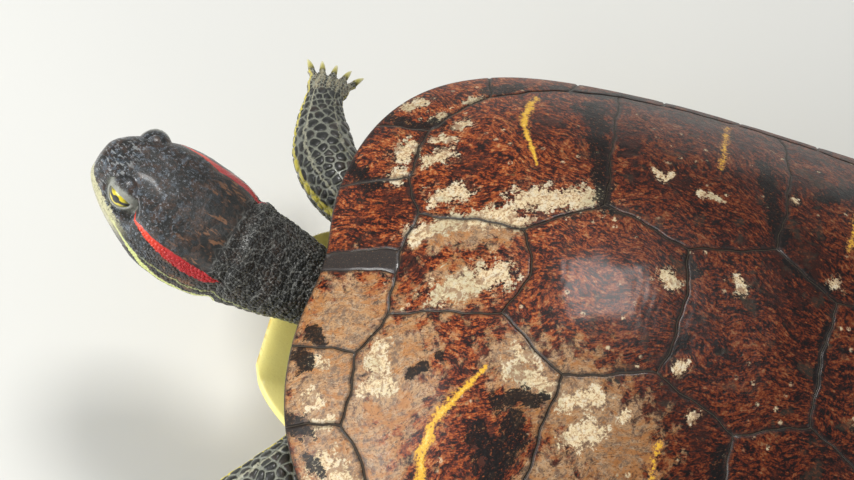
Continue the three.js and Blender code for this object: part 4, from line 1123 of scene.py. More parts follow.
def head_mesh(depth):
    """Head, jaw and neck in one tube, closed at the snout and inside the shell."""
    station, total = spine(head_rows())
    steps = np.concatenate([np.full(count, gap) for count, gap in HEAD_ROWS])
    steps = steps * (total / steps.sum())
    back = np.concatenate([[0], np.cumsum(steps)])
    along, around = len(steps), 208
    dense = np.linspace(0, 1, 721)
    sides = 0.55 + 1.6 * bell(dense, 0.1, 0.29) + 1.6 * bell(dense, 0.1, 0.71)
    spread = np.concatenate([[0], np.cumsum((sides[1:] + sides[:-1]) / 2)])
    spread = np.interp(np.linspace(0, 1, around + 1), spread / spread[-1], dense)

    def place(u, v):
        row = np.round(v * along).astype(int)
        distance = total - back[row]
        at = station(distance)
        turn = spread[np.round(u * around).astype(int)]
        a = -math.pi / 2 + 2 * math.pi * turn
        c, s = np.cos(a), np.sin(a)
        e = 2 / at[:, 12]
        tip = np.where((row == 0) | (row == along), 0.0, 1.0)
        right, up = units(at[:, 3:6]), units(at[:, 6:9])
        out = np.sign(c) * np.abs(c) ** e * (at[:, 9] - depth) * tip
        rise = np.sign(s) * np.abs(s) ** e * (np.where(s > 0, at[:, 10], at[:, 11]) - depth) * tip
        points = at[:, :3] + right * out[:, None] + up * rise[:, None]
        inward = at[:, :3] - points
        inward = inward / np.maximum(np.linalg.norm(inward, axis=1, keepdims=True), 1e-6)
        run = total - distance
        shift, lid, mouth, above_mouth = sculpt_head(points, inward)
        near = ease(56, 50, run) * tip
        points = points + shift * near[:, None]
        phase = run / 2.9 + 0.55 * np.sin(2 * a + 0.3) + 0.4 * np.sin(5 * a + run * 0.11)
        pleat = np.abs(np.sin(math.pi * phase)) ** 0.7 - 0.6
        lines = np.abs(np.sin(13 * a + 0.7 * np.sin(run * 0.35))) ** 0.8 - 0.6
        folded = ease(44, 54, run) * ease(0, 8, distance)
        slant = run + 2.5 * s - 1.5 * np.sin(2 * a)
        collar = 0.6 * bell(slant, 2.2, 56) - 0.6 * bell(slant, 1.3, 52.3)
        points = points - inward * ((0.5 * pleat + 0.2 * lines) * folded + collar * tip)[:, None]
        temple = 0.1 * roughly(run + 9 * c, 16 * s + 5 * c, 1.6, 1.0) * ease(20, 30, run) * tip
        temple = temple + 0.16 * roughly(run * 0.6 + 7 * c, 12 * c - 9 * s, 3.0, 5.0) * ease(6, 20, run) * tip
        points = points - inward * temple[:, None]
        beak = columns(mouth * near, above_mouth, near)
        return points, skin_fields(run, s, c, "head", lid=lid * near, beak=beak)

    return bent_grid("head_and_neck", around, along, place, (0.01, 0.01, 0.48, 0.62))


# ---- limbs and tail ------------------------------------------------------------------------------
# x, y, z, half width, half thickness from inside the shell outwards.
LEGS = {
    "foreleg_right": [(-27, -90, 28, 10.5, 9.5), (-34, -104, 28, 11.2, 9.5), (-41, -115, 27.5, 11.2, 9),
                      (-49.5, -122.2, 26, 10.6, 7.8), (-58, -125, 24, 9.2, 6.4),
                      (-66, -126.6, 21.8, 7.4, 5.2), (-71.5, -127, 20.4, 6.4, 4.6)],
    "foreleg_left": [(34, -84, 27, 10.5, 9.5), (46, -93.5, 27.5, 11.2, 9.5), (57.5, -101, 27.5, 11.2, 9),
                     (69, -110, 26, 10.6, 7.8), (78.5, -119.5, 23.5, 9.4, 6.4), (86, -128.5, 21, 7.6, 5.2),
                     (90, -134, 19.4, 6.6, 4.6)],
    "hindleg_left": [(46, 80, 24, 13, 10.5), (59, 93, 23, 13.4, 10), (72, 104, 20.5, 12.8, 9),
                     (80, 115, 18.5, 11.2, 7.8), (85, 126, 16.5, 9.4, 6.2), (88, 135, 14.8, 8.6, 5)],
    "hindleg_right": [(-48, 78, 24, 13, 10.5), (-64, 88, 22.5, 13.4, 10), (-80, 95, 20, 12.8, 9),
                      (-91, 103, 18, 11.2, 7.8), (-99, 112, 16, 9.4, 6.2), (-104, 120, 14.5, 8.6, 5)],
}
# heading in plan, droop, palm length and half width, toes, toe length, claw length, spread between toes
FEET = {
    "foreleg_right": (178, 15, 7.5, 7.2, 5, 5.5, 5.0, 15),
    "foreleg_left": (-50, 15, 7.5, 7.2, 5, 5.5, 5.0, 15),
    "hindleg_left": (66, 10, 15, 11.5, 4, 12, 6.5, 15),
    "hindleg_right": (127, 10, 15, 11.5, 4, 12, 6.5, 15),
}
# the number that the skin stores for each part
PARTS = {name: number for number, name in enumerate(["head", *LEGS, "tail", "trunk"])}
# on a foot the run along the limb is counted on from here
FOOT_RUN = 100
TAIL = [(0, 102, 24, 9, 8.5), (1, 114, 23, 7.4, 7), (3, 125, 21, 5.6, 5.2), (6.5, 136, 18.4, 3.8, 3.5),
        (11, 146, 16.4, 2.2, 2.0), (14.5, 152, 15.6, 0.8, 0.8)]


def limb_rows(stations):
    """Stations with their directions: centre, right, up, half width, half thickness."""
    centres = np.array([s[:3] for s in stations], float)
    rows = []
    for i, (x, y, z, wide, thick) in enumerate(stations):
        lead = unit(centres[min(i + 1, len(centres) - 1)] - centres[max(i - 1, 0)])
        right = unit(np.cross(lead, (0, 0, 1)))
        rows.append([x, y, z, *right, *unit(np.cross(right, lead)), wide, thick])
    return np.array(rows)


def heading(degrees, droop):
    a, d = np.radians(degrees), math.radians(droop)
    level = math.cos(d)
    return np.stack([np.cos(a) * level, np.sin(a) * level, np.full_like(a, -math.sin(d))], axis=-1)


class Foot:
    """The webbed foot as a bent sheet: t runs across it, k from wrist 0 over knuckles 1 to toe tips 2."""

    def __init__(self, leg, depth):
        self.turn, self.droop, self.palm, self.wide, self.toes, self.toe, self.claw, self.spread = FEET[leg]
        self.front = leg.startswith("fore")
        rows = limb_rows(LEGS[leg])
        self.start, self.leg_right, self.leg_up = rows[-1, :3], rows[-1, 3:6], rows[-1, 6:9]
        self.leg_wide, self.leg_thick = rows[-1, 9] - depth, rows[-1, 10] - depth
        self.along = unit(rows[-1, :3] - rows[-2, :3])
        self.main = heading(np.array(float(self.turn)), self.droop)
        self.side = unit(np.cross(self.main, (0, 0, 1)))
        self.up = unit(np.cross(self.side, self.main))
        self.knuckle = self.start + self.main * self.palm
        self.places = (np.arange(self.toes) - (self.toes - 1) / 2) / ((self.toes - 1) / 2) * 0.84
        self.narrow = 0.125 if self.front else 0.15

    def direction(self, t):
        return heading(self.turn - t * self.spread * (self.toes - 1) / 2 * 1.05, self.droop)

    def ridge(self, t):
        return np.max([bell(t, self.narrow, place) for place in self.places], axis=0)

    def reach(self, t):
        return self.toe * (1 - 0.2 * t * t) * (0.62 + 0.38 * self.ridge(t) ** 0.6)

    def point(self, t, sine, k):
        palm = clamp(k)[:, None]
        control = self.start + self.along * (self.palm * 0.4)
        centre = self.start * (1 - palm) ** 2 + control * 2 * palm * (1 - palm) + self.knuckle * palm**2
        share = ease(0, 1, palm)
        right = self.leg_right * (1 - share) + self.side * share
        up = self.leg_up * (1 - share) + self.up * share
        wide = curve([0, 0.25, 0.65, 1],
                     [self.leg_wide, self.leg_wide, self.wide * 0.95, self.wide - 0.4])(palm)
        thick = curve([0, 0.2, 0.6, 1], [self.leg_thick, self.leg_thick * 0.95, 3.5, 2.8])(palm[:, 0])
        toes = clamp(k - 1)
        ridge = self.ridge(t)
        slim = (0.45 + ridge * (1.65 - 0.5 * toes)) * np.sqrt(clamp(1 - toes**5))
        mixed = ease(0, 0.45, toes)
        bumps = 1 + 0.22 * np.cos(toes * 2 * math.pi * 1.5) * ridge * mixed
        body = thick * np.abs(sine) * (1 - mixed) + slim * bumps * np.abs(sine) ** 0.35 * mixed
        body = body + 0.5 * (ridge - 0.4) * ease(0.4, 1.0, k) * (1 - mixed) * np.abs(sine)
        base = centre + right * (wide[:, 0] * t)[:, None]
        out = self.direction(t) * (self.reach(t) * toes)[:, None]
        sag = self.up * (-0.9 * toes**2 * (1 - ridge) - 0.5 * toes**2)[:, None]
        return base + out + sag + up * (body * np.sign(sine))[:, None]


def leg_mesh(leg, depth):
    """A leg with its foot in one tube, from inside the shell to the tips of the toes."""
    station, total = spine(limb_rows(LEGS[leg]))
    foot = Foot(leg, depth)
    limb_rings, foot_rings = round(total / 0.95), 14 if foot.front else 20
    along, around = limb_rings + 2 * foot_rings, 80
    sign = 1 if leg.endswith("left") else -1

    def place(u, v):
        row = np.round(v * along).astype(int)
        a = -math.pi / 2 + 2 * math.pi * u
        c, s = np.cos(a), np.sin(a)
        s = np.where(np.abs(s) < 1e-9, 0, s)
        on_leg = row <= limb_rings
        distance = np.minimum(row, limb_rings) / limb_rings * total
        at = station(distance)
        right, up = units(at[:, 3:6]), units(at[:, 6:9])
        closed = np.where(row == 0, 0.0, 1.0)
        root = 1 + 0.16 * ease(14, 0, distance)
        muscle = 1 + 0.05 * np.sin(distance * 0.16 + a) * ease(5, 15, distance)
        pleat = 0.35 * (np.abs(np.sin(distance * 0.75 + 0.6 * np.sin(2 * a))) ** 0.7 - 0.5)
        pleat = pleat * ease(26, 12, distance)
        elbow = 0.45 * bell(distance, 4, total * 0.55)
        wide = ((at[:, 9] - depth) * root * muscle + pleat - elbow * 0.4) * closed
        thick = ((at[:, 10] - depth) * root * muscle + pleat) * closed
        points = at[:, :3] + right * (wide * c)[:, None] + up * (thick * s)[:, None]
        k = clamp((row - limb_rings) / foot_rings) + clamp((row - limb_rings - foot_rings) / foot_rings)
        points = np.where(on_leg[:, None], points, foot.point(c, s, k))
        run = np.where(on_leg, distance, FOOT_RUN + k * 10)
        return points, skin_fields(run, s, c * sign, leg)

    corner_u = 0.51 + 0.12 * (PARTS[leg] - 1)
    return bent_grid(leg + "_skin", around, along, place, (corner_u, 0.01, 0.11, 0.62))


def tail_mesh(depth):
    station, total = spine(limb_rows(TAIL))
    around, along = 40, 56

    def place(u, v):
        a = -math.pi / 2 + 2 * math.pi * u
        c, s = np.cos(a), np.sin(a)
        distance = v * total
        at = station(distance)
        closed = np.where((v == 0) | (v == 1), 0.0, 1.0)
        rings = 0.12 * np.sin(distance * 2.4) * ease(0, 12, distance)
        wide = np.maximum(at[:, 9] - depth * 0.8 + rings, 0.35) * closed
        thick = np.maximum(at[:, 10] - depth * 0.8 + rings, 0.35) * closed
        points = at[:, :3] + at[:, 3:6] * (wide * c)[:, None] + at[:, 6:9] * (thick * s)[:, None]
        return points, skin_fields(distance, s, c, "tail")

    return bent_grid("tail_skin", around, along, place, (0.51, 0.66, 0.2, 0.3))


TRUNK_WIDE, TRUNK_FRONT, TRUNK_REAR, TRUNK_ROUND = 83.4, 100.4, 111.4, 2.7
# where neck, legs and tail leave the trunk
ROOTS = [(0, -101, 32), (-36, -94, 28), (44, -90, 28), (66, 92, 24), (-64, 88, 24), (0, 111, 25)]


def trunk_mesh():
    """The flesh that fills the shell."""
    around, along = 260, 70

    def place(u, v):
        a = 2 * math.pi * u
        c, s = np.cos(a), np.sin(a)
        p = 2 / TRUNK_ROUND
        lower, upper = clamp(v / 0.42), clamp((1 - v) / 0.4)
        size = 0.985 * np.sin(lower * math.pi / 2) ** 0.8 * np.sin(upper * math.pi / 2) ** 0.8
        x = np.sign(c) * np.abs(c) ** p * TRUNK_WIDE * size
        y = np.sign(s) * np.abs(s) ** p * np.where(s < 0, TRUNK_FRONT, TRUNK_REAR) * size
        floor = 6.6 + plastron_under(x, y) + 3.5 * ease(40, 66, np.abs(x))
        normal = dome_normal(x, y)
        top = columns(x, y, dome(x, y)) - normal * (PLATE + 2.0)
        share = ease(0.4, 0.62, v)[:, None]
        points = columns(x, y, floor) * (1 - share) + top * share
        # loose folds round the root of the neck and of each limb
        near = np.min([np.linalg.norm((points - root) * (1, 0.7, 1.25), axis=1) for root in ROOTS], axis=0)
        wave = near / 6.5 + 0.5 * roughly(points[:, 0], points[:, 2] * 2, 9.0, 2.0)
        fold = (3.4 - 3.4 * np.abs(np.sin(math.pi * wave)) ** 0.7) * ease(0.18, 0.35, v) * ease(0.85, 0.7, v)
        points = points * (1 - (fold / 95)[:, None] * (1, 1, 0))
        return points, skin_fields(np.zeros_like(x), s, c, "trunk")

    return bent_grid("trunk_skin", around, along, place, (0.74, 0.66, 0.24, 0.3))


# A vertex that the Boolean kept lies within this of its source, in mm.
SAME_PLACE = 2e-6


def united(meshes, name):
    """Joins closed bodies into one surface without inner walls."""
    things = []
    for mesh in meshes:
        thing = bpy.data.objects.new(mesh.name, mesh)
        bpy.context.scene.collection.objects.link(thing)
        things.append(thing)
    base = things[0]
    for other in things[1:]:
        tool = base.modifiers.new("join", "BOOLEAN")
        tool.operation, tool.solver, tool.object = "UNION", "EXACT", other
    depsgraph = bpy.context.evaluated_depsgraph_get()
    mesh = bpy.data.meshes.new_from_object(base.evaluated_get(depsgraph))
    mesh.name = name
    # what was stored comes back from the nearest vertex of the bodies
    tree = tree_of(np.concatenate([positions(body) for body in meshes]))
    points = positions(mesh)
    hits = [tree.find(p) for p in points]
    nearest = np.array([hit[1] for hit in hits])
    # the corners of a cut take after the first body, the trunk, so that no mark of a limb spills over it
    on_cut = np.array([hit[2] for hit in hits]) > SAME_PLACE
    first = tree_of(positions(meshes[0]))
    nearest[on_cut] = [first.find(p)[1] for p in points[on_cut]]
    for key, width in (("lay", 3), ("part", 1), ("crest", 1), ("cell", 1), ("lid", 1), ("beak", 3)):
        values = np.concatenate([read(body, key, width) for body in meshes])[nearest]
        old = mesh.attributes.get(key)
        if old:
            mesh.attributes.remove(old)
        store(mesh, key, values)
    for thing in things:
        bpy.data.objects.remove(thing)
    return mesh


# ---- scales ------------------------------------------------------------------------------------
# how far behind the snout the neck begins, along the head's tube
NECK_RUN = 48
# random places on the skin for each scale, before they are evened out
CLOUD_SHARE = 14
# half width of a scale's own place on the bake map
BAKE_CELL = 0.0015
FLESH = ["trunk", "head", "lower_jaw", "neck", "foreleg_left", "foreleg_right", "hindleg_left",
         "hindleg_right", "forefoot_left", "forefoot_right", "hindfoot_left", "hindfoot_right", "tail"]


class SkinSurface:
    """What the scales need of the skin: points, triangles, stored values, the bake map and a search tree."""

    def __init__(self, mesh):
        mesh.calc_loop_triangles()
        self.points = positions(mesh)
        count = len(mesh.loop_triangles)
        self.triangles = np.empty(count * 3, int)
        mesh.loop_triangles.foreach_get("vertices", self.triangles)
        self.triangles = self.triangles.reshape(-1, 3)
        loops = np.empty(count * 3, int)
        mesh.loop_triangles.foreach_get("loops", loops)
        uv = np.empty(len(mesh.loops) * 2, np.float32)
        mesh.uv_layers["OFBake"].data.foreach_get("uv", uv)
        self.uv = uv.reshape(-1, 2)[loops.reshape(-1, 3)].mean(axis=1)
        self.lay, self.beak = read(mesh, "lay", 3), read(mesh, "beak", 3)
        self.part, self.lid = read(mesh, "part", 1), read(mesh, "lid", 1)
        a, b, c = (self.points[self.triangles[:, i]] for i in range(3))
        cross = np.cross(b - a, c - a)
        self.area = np.linalg.norm(cross, axis=1) / 2
        self.normal = cross / np.maximum(self.area * 2, 1e-12)[:, None]
        self.tree = BVHTree.FromPolygons(self.points.tolist(), self.triangles.tolist())

    def at(self, values):
        return values[self.triangles].mean(axis=1)


def scale_widths(skin, coat):
    """Width of the scales on each triangle, 0 where there are none."""
    lay, part, lid = skin.at(skin.lay), skin.at(skin.part), skin.at(skin.lid)
    run, over = lay[:, 0], lay[:, 1]
    width = np.zeros(len(run))
    neck = (part < 0.3) & (run > NECK_RUN) & (run < 116)
    width = np.where(neck, coat.neck / MM * (1 - 0.12 * over), width)
    cheek = (part < 0.3) & (run > 22) & (run <= NECK_RUN) & (over < 0.35) & (lid < 0.05)
    width = np.where(cheek, coat.face / MM * (1 + 0.25 * ease(34, 50, run)), width)
    limb = (part > 0.7) & (part < 4.3)
    arm = coat.arm / MM
    growing = arm * (0.62 + 0.42 * ease(14, 30, run) - 0.18 * ease(48, 62, run)) * (1 - 0.16 * (over < -0.2))
    hind = arm * (0.6 + 0.3 * ease(16, 34, run)) * (1 - 0.1 * (over < -0.2))
    on_leg = limb & (run < FOOT_RUN - 1) & (run > 9)
    width = np.where(on_leg & (part < 2.5), growing, width)
    width = np.where(on_leg & (part > 2.5), hind, width)
    on_foot = limb & (run > FOOT_RUN - 1) & (run < 118.5)
    width = np.where(on_foot, np.where(part < 2.5, 1.7, 2.2) * (1 - 0.25 * ease(108, 117, run)), width)
    tail = (part > 4.7) & (part < 5.3) & (run > 10) & (run < 49)
    return np.where(tail, 2.1 - 0.9 * ease(12, 48, run), width), part, run


def scatter(skin, width, share, rng):
    """Random places on the skin, share to a scale, and the triangle of each."""
    wanted = np.where(width > 0, skin.area / np.maximum(width, 0.1) ** 2 / 0.866, 0)
    total = wanted.sum()
    count = int(total * share)
    picks = rng.choice(len(wanted), size=count, p=wanted / total)
    r1, r2 = np.sqrt(rng.random(count)), rng.random(count)
    a, b, c = (skin.points[skin.triangles[picks, i]] for i in range(3))
    points = a * (1 - r1)[:, None] + b * (r1 * (1 - r2))[:, None] + c * (r1 * r2)[:, None]
    return points, picks, int(total)


def owners(seeds, cloud):
    """Which seed each point of the cloud is nearest to."""
    tree = tree_of(seeds)
    return np.array([tree.find(p)[1] for p in cloud])


def sums(owner, values, count):
    return columns(*[np.bincount(owner, values[:, k], count) for k in range(3)])


def even_seeds(cloud, count, passes, rng):
    """Random points of the cloud, each moved to the middle of its own share of it, pass after pass."""
    seeds = cloud[rng.choice(len(cloud), count, replace=False)].copy()
    for _ in range(passes):
        owner = owners(seeds, cloud)
        held = np.bincount(owner, minlength=count)[:, None]
        seeds = np.where(held > 0, sums(owner, cloud, count) / np.maximum(held, 1), seeds)
    return seeds


def cell_outlines(seeds, facing, size, groove, dx, dy, rng):
    """Points round each seed, half way to its neighbours less half the groove."""
    neighbours = 12
    tree = tree_of(seeds)
    around = np.array([[i for _, i, _ in tree.find_n(p, neighbours + 1)][1:] for p in seeds])
    right = units(np.cross(facing, rng.normal(size=(len(seeds), 3))))
    up = np.cross(facing, right)
    to = seeds[around] - seeds[:, None, :]
    span = np.linalg.norm(to, axis=2)
    to_x, to_y = np.einsum("nmk,nk->nm", to, right), np.einsum("nmk,nk->nm", to, up)
    flat = np.maximum(np.hypot(to_x, to_y), 1e-6)
    to_x, to_y = to_x / flat * span, to_y / flat * span
    towards = to_x[:, :, None] * dx + to_y[:, :, None] * dy
    limit = np.where(towards > 0.05, (span**2 / 2)[:, :, None] / np.maximum(towards, 0.05), 1e3).min(axis=1)
    limit = np.minimum(limit, size[:, None] * 0.68)
    outer = limit - size[:, None] * groove / 2
    across, upward = (outer * dx)[..., None], (outer * dy)[..., None]
    return seeds[:, None, :] + right[:, None, :] * across + up[:, None, :] * upward


def mesh_of(name, points, quads, triangles):
    """A mesh of four-sided and three-sided faces, and the vertex of each of its loops."""
    mesh = bpy.data.meshes.new(name)
    mesh.vertices.add(len(points))
    mesh.vertices.foreach_set("co", points.astype(np.float32).ravel())
    loops = np.concatenate([quads.ravel(), triangles.ravel()])
    mesh.loops.add(len(loops))
    mesh.loops.foreach_set("vertex_index", loops)
    starts = np.concatenate([np.arange(len(quads)) * 4, len(quads) * 4 + np.arange(len(triangles)) * 3])
    mesh.polygons.add(len(starts))
    mesh.polygons.foreach_set("loop_start", starts)
    mesh.update(calc_edges=True)
    return mesh, loops


def scale_mesh(name, skin, width, keep, coat, rays, seed):
    """Scales of one region: even cells over the skin, each a low dome with a sunk skirt."""
    rng = np.random.default_rng(seed)
    width = np.where(keep, width, 0)
    cloud, picks, count = scatter(skin, width, CLOUD_SHARE, rng)
    if count < 8:
        raise RuntimeError(f"{name}: no skin to cover")
    seeds = even_seeds(cloud, count, coat.relax, rng)
    owner = owners(seeds, cloud)
    held = np.bincount(owner, minlength=count)
    facing = sums(owner, skin.normal[picks], count)
    size = np.bincount(owner, width[picks], count) / np.maximum(held, 1)
    good = (held > 3) & (np.linalg.norm(facing, axis=1) > 0.5)
    seeds, facing, size = seeds[good], units(facing[good]), size[good]
    count = len(seeds)
    turn = 2 * math.pi * np.arange(rays) / rays
    dx, dy = np.cos(turn), np.sin(turn)
    outline = cell_outlines(seeds, facing, size, coat.groove, dx, dy, rng)
    ground = np.empty((count, rays + 1, 3))
    triangle = np.empty((count, rays + 1), int)
    for n in range(count):
        for k in range(rays + 1):
            hit = skin.tree.find_nearest(seeds[n] if k == rays else outline[n, k])
            ground[n, k], triangle[n, k] = hit[0], hit[2]
    height = size * coat.height * rng.uniform(0.85, 1.2, count)
    middle, edge_points = ground[:, rays, :], ground[:, :rays, :]
    edge_normal = skin.normal[triangle[:, :rays]] * 0.4 + facing[:, None, :] * 0.6
    h = height[:, None, None]
    skirt = middle[:, None, :] + (edge_points - middle[:, None, :]) * 1.07 - edge_normal * (0.22 + 0.4 * h)
    brim = edge_points + edge_normal * h * 0.42
    inner = middle[:, None, :] + (edge_points - middle[:, None, :]) * 0.74 + facing[:, None, :] * h * 0.12
    inner = inner + edge_normal * h * 0.85
    crown = middle + facing * height[:, None] * 1.08
    foot = middle - facing * (height[:, None] * 0.4 + 0.2)
    block = np.concatenate([skirt, brim, inner, crown[:, None, :], foot[:, None, :]], axis=1)
    per = rays * 3 + 2
    ring = np.arange(rays)
    after = (ring + 1) % rays
    walls = [columns(low + ring, low + after, low + rays + after, low + rays + ring) for low in (0, rays)]
    quads = np.concatenate(walls)
    caps = columns(2 * rays + ring, 2 * rays + after, np.full(rays, 3 * rays))
    base = columns(after, ring, np.full(rays, 3 * rays + 1))
    offset = (np.arange(count) * per)[:, None, None]
    mesh, loops = mesh_of(name, block.reshape(-1, 3), (quads[None] + offset).reshape(-1, 4),
                          (np.concatenate([caps, base])[None] + offset).reshape(-1, 3))
    edge, inside = triangle[:, :rays], triangle[:, rays:]
    under = np.concatenate([edge, edge, edge, inside, inside], axis=1).ravel()
    for key in ("lay", "part", "lid", "beak"):
        store(mesh, key, skin.at(getattr(skin, key))[under])
    store(mesh, "crest", np.tile([0.0] * rays + [0.3] * rays + [0.85] * rays + [1.0, 0.0], count))
    store(mesh, "cell", np.repeat(rng.random(count), per))
    circle = columns(dx, dy)
    local = np.concatenate([circle, circle * 0.9, circle * 0.6, np.zeros((2, 2))]) * BAKE_CELL
    patch = skin.uv[triangle[:, rays]][:, None, :] + local[None]
    layer = mesh.uv_layers.new(name="OFBake")
    layer.data.foreach_set("uv", patch.reshape(-1, 2)[loops].astype(np.float32).ravel())
    return mesh


# ---- eyes and claws -------------------------------------------------------------------------------
def eye_mesh(side):
    """A ball that looks along the gaze, with a slightly raised cornea."""
    mesh = grown("eye_left_ball" if side > 0 else "eye_right_ball", bmesh.ops.create_uvsphere,
                 u_segments=56, v_segments=40, radius=EYE_RADIUS)
    ball = positions(mesh)
    out = ball[:, 2] / EYE_RADIUS
    local = ball * (1 + 0.035 * ease(0.72, 0.95, out))[:, None]
    centre = in_head(0, side * EYE_ASIDE, EYE_UP)
    points = centre + local @ (eye_axes(side) @ HEAD_AXES)
    mesh.vertices.foreach_set("co", points.astype(np.float32).ravel())
    store(mesh, "gaze", ball / EYE_RADIUS)
    return close_up(mesh)


def claw_mesh(leg, depth):
    """The claws of one foot, each a bent cone that starts inside its toe."""
    foot = Foot(leg, depth)
    made = bmesh.new()
    share_layer = made.verts.layers.float.new("share")
    root_k = np.array([1.86])
    for t in foot.places:
        one = np.array([t])
        lead = foot.direction(one)[0]
        top, low = (foot.point(one, np.array([sine]), root_k)[0] for sine in (1.0, -1.0))
        root = (top + low) / 2
        side = unit(np.cross(lead, (0, 0, 1)))
        up = unit(np.cross(side, lead))
        span = foot.claw + (1.9 if foot.front else 0.9)
        thick = 1.35 if foot.front else 1.45
        around, along = 14, 12
        grid = bmesh.ops.create_grid(made, x_segments=around, y_segments=along, size=0.5)["verts"]
        for vert in grid:
            u, v = vert.co.x + 0.5, vert.co.y + 0.5
            a = 2 * math.pi * u
            radius = thick * (1 - v**1.5) ** 0.8 if 0 < v < 1 else 0
            middle = root + lead * (span * v - 0.6) + up * (-1.6 * v * v * span / 5.5 + 0.25)
            point = middle + side * (math.cos(a) * radius * 0.8) + up * (math.sin(a) * radius)
            vert[share_layer] = v
            vert.co = Vector(point)
    bmesh.ops.remove_doubles(made, verts=made.verts, dist=1e-4)
    bmesh.ops.recalc_face_normals(made, faces=made.faces)
    mesh = bpy.data.meshes.new("claws_" + leg.replace("leg", "foot"))
    made.to_mesh(mesh)
    made.free()
    return mesh


# ---- operators --------------------------------------------------------------------------------------
MARGINAL_RINGS, CERVICAL_RINGS = 26, 16


class TURTLE_OT_carapace(bpy.types.Operator):
    """Builds the plates of the carapace"""

    bl_idname = "turtle.carapace"
    bl_label = "Carapace"

    def execute(self, context):
        scene = context.scene
        shell = scene.turtle_shell
        horn, dark = horn_finish(shell, scene.turtle_belly), cervical_finish(shell)
        plates = [("cervical", "n -n -nf f0 nf".split(), CERVICAL_RINGS, 0.0, dark)]
        plates += [(f"vertebral_{i + 1}", keys.split(), shell.rings, 0.5, horn)
                   for i, keys in enumerate(VERTEBRALS)]
        for kind, loops, rings, crown in (("costal", COSTALS, shell.rings, 0.6),
                                          ("marginal", MARGINALS, MARGINAL_RINGS, 0.2)):
            for i, keys in enumerate(loops):
                plates.append((f"{kind}_left_{i + 1}", keys.split(), rings, crown, horn))
                plates.append((f"{kind}_right_{i + 1}", mirrored(keys.split()), rings, crown, horn))
        for number, (node, keys, rings, crown, material) in enumerate(plates):
            mesh = plate_mesh(node + "_plate", keys, shell, rings, crown, 1.0 + number * 2.37)
            show(mesh, [material], [node])
        return {"FINISHED"}


class TURTLE_OT_plastron(bpy.types.Operator):
    """Builds the plastron with its bridges"""

    bl_idname = "turtle.plastron"
    bl_label = "Plastron"

    def execute(self, context):
        material = plastron_finish(context.scene.turtle_belly)
        show(plastron_mesh(), [material], ["plastron"])
        return {"FINISHED"}


class TURTLE_OT_skin(bpy.types.Operator):
    """Builds the one skin of head, neck, limbs, trunk and tail, and the scales on it"""

    bl_idname = "turtle.skin"
    bl_label = "Skin and scales"

    def execute(self, context):
        scene = context.scene
        depth, coat = scene.turtle_skin.depth / MM, scene.turtle_coat
        material = skin_finish(scene.turtle_skin)
        bodies = [trunk_mesh(), head_mesh(depth), *[leg_mesh(leg, depth) for leg in LEGS], tail_mesh(depth)]
        mesh = united(bodies, "slider_skin")
        if len(mesh.polygons) < 20000:
            raise RuntimeError("the skin didn't join")
        skin = SkinSurface(mesh)
        show(mesh, [material], FLESH)
        width, part, run = scale_widths(skin, coat)
        on = {name: np.abs(part - number) < 0.3 for name, number in PARTS.items()}
        regions = [("neck", on["head"] & (run > NECK_RUN), 9), ("face", on["head"] & (run <= NECK_RUN), 8),
                   ("tail", on["tail"], 9)]
        regions += [(leg, on[leg] & (run < FOOT_RUN - 1), 12) for leg in LEGS]
        regions += [(leg.replace("leg", "foot"), on[leg] & (run > FOOT_RUN - 1), 8) for leg in LEGS]
        for number, (name, keep, rays) in enumerate(regions):
            show(scale_mesh("scales_" + name, skin, width, keep, coat, rays, 11 + number), [material])
        return {"FINISHED"}


class TURTLE_OT_eyes(bpy.types.Operator):
    """Builds the two eyes"""

    bl_idname = "turtle.eyes"
    bl_label = "Eyes"

    def execute(self, context):
        material = eye_finish(context.scene.turtle_eye)
        show(eye_mesh(1), [material], ["eye_left"])
        show(eye_mesh(-1), [material], ["eye_right"])
        return {"FINISHED"}


class TURTLE_OT_claws(bpy.types.Operator):
    """Builds the claws of each foot"""

    bl_idname = "turtle.claws"
    bl_label = "Claws"

    def execute(self, context):
        scene = context.scene
        material = claw_finish(scene.turtle_eye)
        for leg in LEGS:
            show(claw_mesh(leg, scene.turtle_skin.depth / MM), [material])
        return {"FINISHED"}


class TURTLE_OT_stand(bpy.types.Operator):
    """Finishes the plate and the rods of the display stand"""

    bl_idname = "turtle.stand"
    bl_label = "Stand"

    def execute(self, context):
        stage = context.scene.turtle_stage
        steel = steel_finish(stage)
        looks = {"stand_base": painted_finish(stage), "stand_rod_front": steel, "stand_rod_rear": steel}
        for name, material in looks.items():
            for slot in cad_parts[name].material_slots:
                slot.material = material
        return {"FINISHED"}


AZIMUTH, ELEVATION, TILT = 84.66, 63.74, 21.93
TARGET, DISTANCE = Vector((-0.01401, -0.08389, 0.105)), 0.9889
CENTRE = (0.0, -0.03, 0.09)
# name, place, aim, size, share of the key light's strength, colour
LIGHTS = [
    ("key", (-0.6, -0.2, 1.32), CENTRE, (0.42, 0.36), 1.0, (1.0, 0.985, 0.96)),
    ("front", (0.5, -1.3, 0.9), CENTRE, (0.9, 0.7), 0.85, (0.97, 0.985, 1.0)),
    ("fill", (0.42, -0.62, 0.34), (0.02, -0.12, 0.06), (0.35, 0.25), 0.24, (1.0, 0.99, 0.96)),
    ("left", (1.4, 0.5, 0.8), CENTRE, (0.9, 0.8), 0.42, (1.0, 0.99, 0.97)),
    ("rear", (-0.3, 1.4, 0.7), CENTRE, (0.9, 0.6), 0.25, (1.0, 1.0, 1.0)),
]
SKY, SKY_STRENGTH = (0.84, 0.87, 0.9, 1), 0.24


